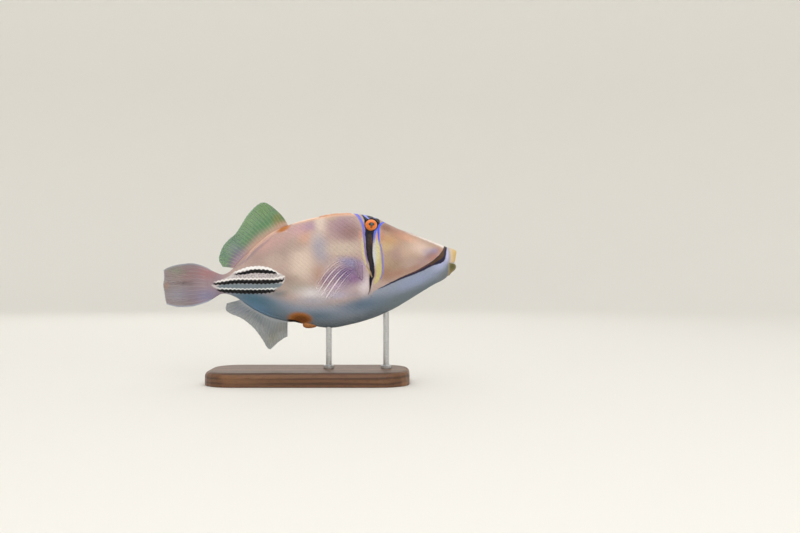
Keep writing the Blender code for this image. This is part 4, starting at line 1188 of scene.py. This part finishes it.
def build_scales(side, finish, rows, relief, chance):
    """Bony plates in slanting rows over one flank, each a low cushion in a narrow seam."""
    corners = (1 - PLATE_GAP) * np.array([
        (0.96, 0), (0.49, 0.49), (0, 0.96), (-0.49, 0.49), (-0.96, 0), (-0.49, -0.49), (0, -0.96),
        (0.49, -0.49),
    ])
    spots = [(0.0, 0.0, 1.0)]
    for share, height in ((0.78, 0.95), (0.98, 0.45), (1.0, -1.1)):
        spots += [(dx * share, dz * share, height) for dx, dz in corners]
    spots = np.array(spots)
    count = len(corners)
    plate_faces = [(0, 1 + k, 1 + (k + 1) % count) for k in range(count)]
    plate_faces += [[corner + 1 for corner in face] for face in grid_faces(3, count, wrap_columns=True)]
    centre, _, _, out = eye_axes(1)
    parts, tones, x, column = [], [], FLESH_END + 3.0, 0
    while x < BARE_SNOUT - 1:
        pitch = FLANK.girth(x) / rows
        length = 0.54 * max(pitch, 1.7)
        fade = ease((x - FLESH_END - 2) / 8) * ease((BARE_SNOUT - x) / 5)
        size = 0.75 + 0.25 * fade
        rise = relief * (0.5 + 0.5 * pitch / 3.5) * (0.3 + 0.7 * fade)
        height = np.where(spots[:, 2] > 0, spots[:, 2] * (1 - 0.15 * spots[:, 0]) * rise, -0.16)[:, None]
        for row in range(rows + 1):
            v = (row + 0.5 * (column % 2)) / rows
            if v > 1 or side < 0 and not 0.01 < v < 0.99:
                continue
            spot = FLANK.at(x, v)
            depth = (spot - centre) @ out
            at_eye = np.linalg.norm(spot - centre - depth * out) < BARE_RADIUS and depth > -6
            level = level_of(x, spot[2])
            near_joint = abs(x - gill_joint(level)) < 0.5 * length + 0.9
            in_slit = near_joint and abs(level - GILL_LEVEL) < GILL_REACH * 0.85
            in_groove = GROOVE[0] - 1.5 < x < GROOVE[1] + 1.5 and spot[1] < 2.6 + length and level > 0.8
            if at_eye or in_slit or in_groove:
                continue
            px, pv = x + spots[:, 0] * length * size, v + spots[:, 1] * 0.5 / rows * size
            plate = FLANK.at(px, pv) + FLANK.normal(px, pv) * height
            parts.append((plate * (1, side, 1), plate_faces, uv_of(x, v, side) + 0.0015 * spots[:, :2]))
            tones.append(chance.uniform(-0.02, 0.02))
        x += length
        column += 1
    points, faces, uv = join(parts)
    marks = {"tone": np.repeat(tones, len(spots))}
    return add_piece(f"scales_{SIDES[side]}", points, faces, finish, uv, marks=marks)


def build_tail_spines(finish):
    """Three rows of small forward-curving spines on each side of the tail root."""
    steps = np.linspace(0, 1, 7)[:, None]
    lean = np.array((1.0, 0.0, 0.12)) * 1.15 * steps ** 1.8
    radii = 0.95 * (1 - steps[:, 0] ** 1.6) + 0.07
    parts = []
    for side in SIDES:
        for row in SPINE_ROWS:
            xs, heights = zip(*row)
            for x in np.linspace(xs[0], xs[-1], int((xs[-1] - xs[0]) / SPINE_PITCH) + 1):
                v = FLANK.v_of(x, np.interp(x, xs, heights))
                path = FLANK.at(x, v) + FLANK.normal(x, v) * (2.0 * steps - 0.35) + lean
                parts.append((*tube(path * (1, side, 1), radii, 10), uv_of(x, v, side)))
    points, faces, uv = join(parts)
    return add_piece("tail_root_spines", points, faces, finish, uv)


def front_dip(x):
    """How far the folded fin sinks on its way into the front wall of the groove."""
    return 1.6 * ease((x - 34.6) / 3.2)


def build_folded_dorsal(finish):
    """First dorsal fin folded into its groove: three rough spines on their pleated web."""
    parts = []
    share = np.linspace(0, 1, 46)
    for base, tip, radius in FOLDED_SPINES:
        x = base + (tip - base) * share
        radii = radius * (1 - 0.62 * share ** 1.5) * (1 + 0.04 * np.sin(share * 60) * (1 - share))
        radii *= ease((1.03 - share) / 0.06) * 0.85 + 0.15
        path = midline(x, back(x) + 0.3 - radius - front_dip(x))
        parts.append((*tube(path, radii, 20), (0.0, 0.0)))
    along, u = np.meshgrid(np.linspace(GROOVE[0] + 0.6, GROOVE[1] + 0.8, 70), np.linspace(-1, 1, 25))
    pleats = 0.3 * np.cos(3 * math.pi * u) * ease((1 - np.abs(u)) / 0.3)
    top = back(along) - 1.15 + pleats - 1.6 * ease((np.abs(u) - 0.75) / 0.25)
    top += 0.12 * np.sin(0.9 * along + 2.0 * u) - front_dip(along)
    parts.append((np.stack((along, 1.55 * u, top), axis=-1), grid_faces(*along.shape), (0.0, 0.0)))
    points, faces, _ = join(parts)
    return add_piece("folded_dorsal_spines", points, faces, finish)


def build_eye(side, finish):
    """Eyeball, flattened like the solid one, its clear front a little fuller over the pupil."""
    centre, forward, up, out = eye_axes(side)
    polar = np.linspace(0, math.pi, 41)[1:-1, None, None]
    reach, height = EYE_RADIUS * np.sin(polar), EYE_DEPTH * np.cos(polar)
    height += np.where(height > 0, EYE_BULGE * bump(reach, 3.0), 0.0)
    globe = centre + circle(72, forward, up) * reach + out * height
    ends = (centre + out * (EYE_DEPTH + EYE_BULGE), centre - out * EYE_DEPTH)
    points = np.concatenate((globe.reshape(-1, 3), ends))
    return add_piece(f"eyeball_{SIDES[side]}", points, tube_faces(*globe.shape[:2]), finish)


def build_pelvic_spine(finish):
    """Blunt end of the pelvis, covered with small rough tubercles."""
    width_of = smooth([(-5.2, 0.7), (-4.2, 1.7), (-2.4, 2.4), (0.0, 2.6), (2.8, 2.3), (5.2, 1.5), (6.6, 0.5)])
    low_of = smooth([
        (-5.2, 48.3), (-4.2, 47.4), (-2.4, 46.8), (0.0, 46.6), (2.8, 46.8), (5.2, 47.3), (6.6, 48.0),
    ])
    turns = np.linspace(0, 2 * math.pi, 48, endpoint=False)
    along, turn = np.meshgrid(np.linspace(-5.2, 6.6, 60), turns, indexing="ij")
    top = belly(along) + 2.4
    depth = (top - low_of(along)) / 2
    knob = np.maximum(np.cos(along * 4.2) * np.cos(turn * 9 + along * 1.3), 0) ** 1.5
    knob *= ease((6.2 - along) / 1.2) * ease((along + 5.0) / 1.0)
    shape = 1 + 0.09 * knob
    across = width_of(along) * np.cos(turn) * shape
    points = np.stack((along, across, top - depth + np.sin(turn) * depth * shape), axis=-1)
    points = np.concatenate((points.reshape(-1, 3), points[[0, -1]].mean(axis=1)))
    marks = {"knob": np.append(knob.ravel(), (0.0, 0.0))}
    return add_piece("pelvic_scutes", points, tube_faces(*along.shape), finish, marks=marks)


# Fins


def track(points):
    """x(t) and z(t) through (t, x, z) points, as arrays of points."""
    x_of = smooth([(t, x) for t, x, _ in points])
    z_of = smooth([(t, z) for t, _, z in points])
    return lambda t: midline(x_of(t), z_of(t))


dorsal_tips = track([
    (0, -33.0, 151.6), (0.06, -37.0, 154.0), (0.12, -41.0, 154.2), (0.19, -45.6, 151.3), (0.26, -49.8, 147.2),
    (0.35, -53.7, 142.3), (0.47, -58.2, 134.8), (0.58, -62.8, 127.8), (0.68, -68.0, 123.2),
    (0.78, -73.1, 117.6), (0.87, -76.0, 111.3), (0.94, -77.2, 104.9), (1, -74.2, 99.2),
])
anal_tips = track([
    (0, -18.4, 39.3), (0.07, -21.2, 37.9), (0.14, -27.2, 33.6), (0.2, -33.0, 28.4), (0.27, -36.2, 30.2),
    (0.36, -39.2, 35.6), (0.5, -45.4, 44.4), (0.6, -51.0, 50.0), (0.69, -57.0, 54.4), (0.77, -62.4, 57.0),
    (0.84, -67.6, 59.0), (0.92, -71.4, 62.4), (1, -70.6, 67.8),
])
pectoral_tips = track([
    (0, 6.6, 84.6), (0.25, 7.8, 77.6), (0.5, 11.2, 73.4), (0.75, 18.0, 72.2), (1, 27.4, 77.6),
])
tail_fin_top = smooth([
    (-125.3, 95.7), (-121, 98.3), (-114.4, 100.5), (-105.6, 101.8), (-99, 102.0), (-92.5, 100.5),
    (-86, 97.8), (-83.3, 96.0),
])
tail_fin_bottom = smooth([
    (-125.3, 70.3), (-123, 67.7), (-118.7, 66.0), (-112, 64.7), (-100.4, 65.1), (-94.7, 66.4),
    (-86.8, 68.9), (-83.3, 70.9),
])
tail_fin_rear = smooth([
    (0, -124.7), (0.15, -124.3), (0.3, -124.3), (0.47, -124.9), (0.62, -124.3), (0.78, -123.6),
    (0.9, -123.0), (1, -122.2),
])


def dorsal_place(t, r):
    x = FIN_FRONT - DORSAL_BASE * (t + 0.17 * t * (1 - t))
    root = midline(x, back(x) + 0.3)
    point = root + (dorsal_tips(t) - root) * r[..., None]
    point[..., 0] += 2.0 * 4 * r * (1 - r) * (1 - t)
    return point


def anal_place(t, r):
    x = FIN_FRONT - ANAL_BASE * (t + 0.10 * t * (1 - t))
    root = midline(x, belly(x) - 0.3)
    return root + (anal_tips(t) - root) * r[..., None]


def tail_place(t, r):
    x = TAIL_FIN_ROOT + (tail_fin_rear(t) - TAIL_FIN_ROOT) * r
    held = np.minimum(x, TAIL_FIN_ROOT)
    narrow = (0.5 - t) * 2 * np.maximum(x - TAIL_FIN_ROOT, 0) * 1.5
    return midline(x, tail_fin_top(held) + (tail_fin_bottom(held) - tail_fin_top(held)) * t - narrow)


def pectoral_place(t, r):
    """Left pectoral fin: out from the skin, back and down in one curve."""
    steps = np.linspace(0, 1, 12)
    skin_y = [FLANK.at(46.0 - 0.2 * s, FLANK.v_of(46.0 - 0.2 * s, 100.6 - 12.8 * s))[1] for s in steps]
    root_y = np.interp(t, steps, skin_y) + 0.3

    def between(first, last, y):
        x, z = (start + (end - start) * t for start, end in zip(first, last))
        return np.stack((x, y, z), axis=-1)

    root = between((46.0, 100.6), (45.8, 87.8), root_y)
    out = between((34.0, 109.0), (40.0, 95.0), root_y + 6.5)
    bend = between((18.5, 114.0), (41.0, 95.0), root_y + 8.5)
    tip = pectoral_tips(t)
    tip[..., 1] = 23.5 - 2.0 * t
    sunk = np.minimum(r, 0.0)
    r = np.maximum(r, 0.0)[..., None]
    q = 1 - r
    point = root * q ** 3 + out * (3 * q * q * r) + bend * (3 * q * r * r) + tip * r ** 3
    point[..., 1] += sunk * 25.0
    return point


def soft_fin_half(t, r):
    return 0.27 + 0.09 * (1 - r) + 0.8 * (1 - ease(r / 0.16)) * (1 - 0.5 * t)


def tail_half(t, r):
    return 0.27 + 0.19 * (1 - r) + 0.6 * (1 - ease(r / 0.3)) * (1 - (2 * t - 1) ** 2)


def pectoral_half(t, r):
    return 0.27 + 0.09 * (1 - r) + 0.35 * (1 - ease(r / 0.2))


def build_fin(name, finish, place, half, rays, height, side=1, steps=14, sink=0.03, wave=0.5, notch=0.012,
              thick=(0.13, 0.055), split=1.0, glint_rays=()):
    """A fin of branching rays with a thin web between them, as one closed mesh.

    t runs across the rays and r from the root, sunk into the body, to the free edge. place gives the
    middle of the web there and half its half thickness.
    """
    columns = steps * (rays - 1) + 1
    from_root = np.append(np.linspace(-sink, 0.985, 55), (0.992, 0.997, 1.0))
    t, r = np.meshgrid(np.linspace(0, 1, columns), from_root, indexing="ij")
    number = t * (rays - 1)
    off = np.abs(number - np.round(number))
    first_split = 0.19 * split * ease((r - 0.32) / 0.4)
    second_split = 0.08 * split * ease((r - 0.66) / 0.3)
    off = np.abs(np.abs(off - first_split) - second_split)
    ray = bump(off, thick[0] + (thick[1] - thick[0]) * ease(r)) * ease(r / 0.08 + 0.2)
    edge = 1 - notch * np.abs(np.sin(math.pi * number)) ** 0.8 * ease((t * (1 - t)) / 0.002)
    point = place(t, r * (1 + (edge - 1) * ease(r)))
    sway = wave * np.maximum(r, 0) ** 1.4 * (np.sin(7.0 * t + 1.0) + 0.5 * np.sin(17.0 * t + 3.0 * r))
    out = np.cross(np.gradient(point, axis=1), np.gradient(point, axis=0))
    out /= np.maximum(np.linalg.norm(out, axis=-1, keepdims=True), 1e-9)
    out *= np.where(out[..., 1:2] < 0, -1.0, 1.0)
    point = point + out * (0.62 * sway)[..., None]
    joints = 0.03 * np.sin(r * 150) * ray * ease((r - 0.25) / 0.1)
    body = half(t, np.maximum(r, 0)) - 0.1 * (1 - ray) * ease(r / 0.2)
    body = body + (height * (1 - 0.55 * r) + joints) * ray
    rim = np.minimum(np.minimum(t, 1 - t) * (rays - 1) / 0.25, (1 - r) / 0.006)
    body = (body * (0.45 + 0.55 * np.sqrt(np.clip(rim, 0, 1))))[..., None]
    points = np.array((point + out * body, point - out * body)) * (1, side, 1)
    sheet = np.arange(t.size).reshape(t.shape)
    faces = grid_faces(*t.shape)
    faces += [[corner + t.size for corner in face] for face in faces]
    border = np.concatenate((sheet[:, 0], sheet[-1, 1:], sheet[-2::-1, -1], sheet[0, -2:0:-1])).tolist()
    faces += [(a, b, b + t.size, a + t.size) for a, b in zip(border, border[1:] + border[:1])]
    u, w = 0.02 + 0.96 * t, 0.48 * np.clip((r + sink) / (1 + sink), 0, 1)
    uv = [np.stack((u, low + w), axis=-1) for low in (0.01, 0.51)]
    # Painted glints: the listed rays, each with its strength, are marked near their tips.
    shine = np.full_like(t, 0.1)
    for number, strength in glint_rays:
        shine += strength * bump(t - number / (rays - 1), 0.02) * bump(r - 0.84, 0.2)
    marks = {"ray": (ray, ray), "reach": (r, r), "across": (t, t), "shine": (shine, shine)}
    return add_piece(name, points, faces, finish, uv, marks=marks)


# Settings, operators and panel


def colour_setting(name, description, code):
    return FloatVectorProperty(
        name=name, description=description, subtype="COLOR", size=3, min=0.0, max=1.0, default=rgb(code),
    )


def number_setting(name, description, default, most=1.0, **kind):
    return FloatProperty(name=name, description=description, default=default, min=0.0, max=most, **kind)


class SkinSettings(bpy.types.PropertyGroup):
    ground_colour: colour_setting("Skin colour", "Ground colour of the upper flank", "#C0A79E")
    roughness: number_setting("Roughness", "Roughness of the moist skin", 0.42, subtype="FACTOR")
    scale_rows: IntProperty(
        name="Scale rows", description="Rows of scales from belly to back", default=28, min=12, max=40,
    )
    scale_relief: number_setting(
        "Scale relief", "Height of a scale above its seam", 0.06 * MM, 0.4 * MM, precision=5, unit="LENGTH",
    )


class EyeSettings(bpy.types.PropertyGroup):
    iris_colour: colour_setting("Iris colour", "Colour of the iris between its fibres", "#F0701A")


class FinSettings(bpy.types.PropertyGroup):
    web_cover: number_setting(
        "Web cover", "Opacity of one face of the dorsal, anal and tail webs", 0.6, subtype="FACTOR",
    )
    clear_web_cover: number_setting(
        "Clear web cover", "Opacity of one face of the pectoral web", 0.02, subtype="FACTOR",
    )
    ray_height: number_setting(
        "Ray height", "Height of a fin ray above its web", 0.16 * MM, 0.6 * MM, precision=5, unit="LENGTH",
    )


class StandSettings(bpy.types.PropertyGroup):
    wood_colour: colour_setting("Wood colour", "Ground colour of the walnut base", "#6F4A30")
    steel_colour: colour_setting("Steel colour", "Colour of the steel rods", "#C4C5C6")


class StageSettings(bpy.types.PropertyGroup):
    board_colour: colour_setting("Board colour", "Colour of the floor and backdrop", "#E9E7E2")
    key_power: number_setting(
        "Key light", "Power of the large soft light in front of the fish", 7.4, 100.0, unit="POWER",
    )
    top_power: number_setting(
        "Overhead light", "Power of the soft light above the fish", 38.0, 100.0, unit="POWER",
    )


def dress(piece, slot, *nodes):
    """Fixes a piece to the body and hides the solids it stands in for; the slot is not used."""
    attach(piece, "root")
    if nodes:
        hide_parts(*nodes)


class TRIGGERFISH_OT_skin(bpy.types.Operator):
    """Build the skin with its lips, eye lids and nostrils, the scales over it and the tail-root spines"""
    bl_idname = "triggerfish.skin"
    bl_label = "Skin and scales"

    def execute(self, context):
        settings = context.scene.triggerfish_skin
        finish = make_skin_finish(settings)
        dress(build_skin(finish), "skin", "head", "torso", "tail", "upper_lip", "lower_lip")
        chance = random.Random(SEED)
        for side in SIDES:
            dress(build_scales(side, finish, settings.scale_rows, settings.scale_relief / MM, chance), "skin")
        dress(build_tail_spines(finish), "skin")
        return {"FINISHED"}


class TRIGGERFISH_OT_eyes(bpy.types.Operator):
    """Build both eyeballs"""
    bl_idname = "triggerfish.eyes"
    bl_label = "Eyes"

    def execute(self, context):
        for side, name in SIDES.items():
            finish = make_eye_finish(context.scene.triggerfish_eye, side)
            dress(build_eye(side, finish), "eye", f"eye_{name}")
        return {"FINISHED"}


class TRIGGERFISH_OT_folded_dorsal(bpy.types.Operator):
    """Build the first dorsal fin, folded into its groove"""
    bl_idname = "triggerfish.folded_dorsal"
    bl_label = "Folded dorsal spines"

    def execute(self, context):
        dress(build_folded_dorsal(make_thorn_finish()), "spine", "dorsal_spines")
        return {"FINISHED"}


class TRIGGERFISH_OT_median_fins(bpy.types.Operator):
    """Build the soft dorsal, anal and tail fins"""
    bl_idname = "triggerfish.median_fins"
    bl_label = "Dorsal, anal and tail fins"

    def execute(self, context):
        settings = context.scene.triggerfish_fins
        height = settings.ray_height / MM
        dorsal = build_fin(
            "soft_dorsal_fin", make_dorsal_finish(settings), dorsal_place, soft_fin_half, rays=24,
            height=height,
        )
        anal = build_fin(
            "soft_anal_fin", make_anal_finish(settings), anal_place, soft_fin_half, rays=21, height=height,
            sink=0.06,
        )
        tail = build_fin(
            "tail_fin", make_tail_finish(settings), tail_place, tail_half, rays=12, height=0.7 * height,
            steps=26, notch=0.008,
        )
        dress(dorsal, "dorsal_membrane", "dorsal_fin")
        dress(anal, "anal_membrane", "anal_fin")
        dress(tail, "tail_membrane", "caudal_fin")
        return {"FINISHED"}


class TRIGGERFISH_OT_pectoral_fins(bpy.types.Operator):
    """Build the pair of pectoral fins"""
    bl_idname = "triggerfish.pectoral_fins"
    bl_label = "Pectoral fins"

    def execute(self, context):
        settings = context.scene.triggerfish_fins
        finish = make_pectoral_finish(settings)
        for side, name in SIDES.items():
            piece = build_fin(
                f"clear_pectoral_{name}", finish, pectoral_place, pectoral_half, rays=13, side=side,
                wave=0.35, notch=0.02, height=settings.ray_height / MM, thick=(0.18, 0.14), split=0.4,
                # Painted glints near the tips of these rays
                glint_rays=((2, 0.2), (4, 0.65), (6, 0.75), (8, 0.75), (10, 0.3)),
            )
            dress(piece, "pectoral_membrane", f"pectoral_fin_{name}")
        return {"FINISHED"}


class TRIGGERFISH_OT_pelvic_spine(bpy.types.Operator):
    """Build the rough blunt spine at the end of the pelvis"""
    bl_idname = "triggerfish.pelvic_spine"
    bl_label = "Pelvic spine"

    def execute(self, context):
        dress(build_pelvic_spine(make_pelvic_finish()), "pelvic_scales", "pelvic_spine")
        return {"FINISHED"}


class TRIGGERFISH_OT_stand(bpy.types.Operator):
    """Finish the base in walnut and the rods in steel"""
    bl_idname = "triggerfish.stand"
    bl_label = "Stand"

    def execute(self, context):
        settings = context.scene.triggerfish_stand
        steel = make_steel(settings)
        finishes = {"stand_base": make_walnut(settings), "stand_rod_front": steel, "stand_rod_rear": steel}
        for name, finish in finishes.items():
            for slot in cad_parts[name].material_slots:
                slot.material = finish
        return {"FINISHED"}


class TRIGGERFISH_OT_stage(bpy.types.Operator):
    """Set up the floor with its curved backdrop, the lights and the camera"""
    bl_idname = "triggerfish.stage"
    bl_label = "Stage"

    def execute(self, context):
        scene, settings = context.scene, context.scene.triggerfish_stage
        build_board(settings)
        add_soft_light("key_light", (0.35, -1.3, 1.0), size=1.1, power=settings.key_power)
        add_soft_light("overhead_light", (0.0, 0.0, 2.3), size=3.4, power=settings.top_power)
        add_soft_light("rear_light", (-0.3, 1.2, 0.8), size=0.9, power=settings.key_power * 0.25)
        scene.world = bpy.data.worlds.new("soft_surround")
        scene.world.use_nodes = True
        surround = scene.world.node_tree.nodes["Background"].inputs
        surround["Color"].default_value = (*settings.board_colour, 1.0)
        surround["Strength"].default_value = SURROUND_STRENGTH
        scene.view_settings.view_transform = "Standard"
        camera = bpy.data.objects.new("camera", bpy.data.cameras.new("camera"))
        camera.data.lens = LENS_MM
        camera.data.sensor_width = SENSOR_MM
        camera.location = CAMERA_PLACE
        camera.rotation_euler = (math.radians(90), 0.0, 0.0)
        scene.collection.objects.link(camera)
        scene.camera = camera
        return {"FINISHED"}


def add_soft_light(name, place, size, power):
    """A square area light that faces the middle of the fish."""
    light = bpy.data.lights.new(name, "AREA")
    light.energy = power
    light.size = size
    lamp = bpy.data.objects.new(name, light)
    lamp.location = place
    lamp.rotation_euler = (FISH_MIDDLE - Vector(place)).to_track_quat("-Z", "Y").to_euler()
    bpy.context.scene.collection.objects.link(lamp)


def build_board(settings):
    """Floor that curves up into a backdrop all round, in one smooth sheet."""
    angles = np.linspace(0, math.pi / 2, 15)
    reach = BOARD_REACH + BOARD_CURVE * np.append(np.sin(angles), 1.0)[:, None]
    height = np.append(BOARD_CURVE * (1 - np.cos(angles)), BOARD_TOP)[:, None]
    ways = circle(96, np.array((1.0, 0.0, 0.0)), np.array((0.0, 1.0, 0.0)))
    sheet = ways[:, None] * reach + np.array((0.0, 0.0, 1.0)) * height
    turns, steps, _ = sheet.shape
    faces = grid_faces(turns, steps, wrap_rows=True)
    faces += [(turns * steps, k * steps, (k + 1) % turns * steps) for k in range(turns)]
    points = np.append(sheet.reshape(-1, 3), ((0.0, 0.0, 0.0),), axis=0) / MM
    return add_piece("studio_board", points, faces, make_backdrop_finish(settings))


class TRIGGERFISH_PT_panel(bpy.types.Panel):
    bl_idname = "TRIGGERFISH_PT_panel"
    bl_label = "Triggerfish"
    bl_space_type = "VIEW_3D"
    bl_region_type = "UI"
    bl_category = "Triggerfish"

    def draw(self, context):
        for name, group, operators in PANEL_ROWS:
            box = self.layout.box()
            for setting in group.__annotations__:
                box.prop(getattr(context.scene, name), setting)
            for operator in operators:
                box.operator(operator.bl_idname)


PANEL_ROWS = (
    ("triggerfish_skin", SkinSettings,
     (TRIGGERFISH_OT_skin, TRIGGERFISH_OT_folded_dorsal, TRIGGERFISH_OT_pelvic_spine)),
    ("triggerfish_eye", EyeSettings, (TRIGGERFISH_OT_eyes,)),
    ("triggerfish_fins", FinSettings, (TRIGGERFISH_OT_median_fins, TRIGGERFISH_OT_pectoral_fins)),
    ("triggerfish_stand", StandSettings, (TRIGGERFISH_OT_stand,)),
    ("triggerfish_stage", StageSettings, (TRIGGERFISH_OT_stage,)),
)
OPERATORS = [operator for _, _, operators in PANEL_ROWS for operator in operators]
CLASSES = (*[group for _, group, _ in PANEL_ROWS], *OPERATORS, TRIGGERFISH_PT_panel)


def register():
    for made_class in CLASSES:
        bpy.utils.register_class(made_class)
    for name, group, _ in PANEL_ROWS:
        setattr(bpy.types.Scene, name, PointerProperty(type=group))


def unregister():
    for name, _, _ in PANEL_ROWS:
        delattr(bpy.types.Scene, name)
    for made_class in reversed(CLASSES):
        bpy.utils.unregister_class(made_class)


def main():
    register()
    for operator in OPERATORS:
        getattr(bpy.ops.triggerfish, operator.bl_idname.split(".")[1])()


if __name__ == "__main__":
    main()
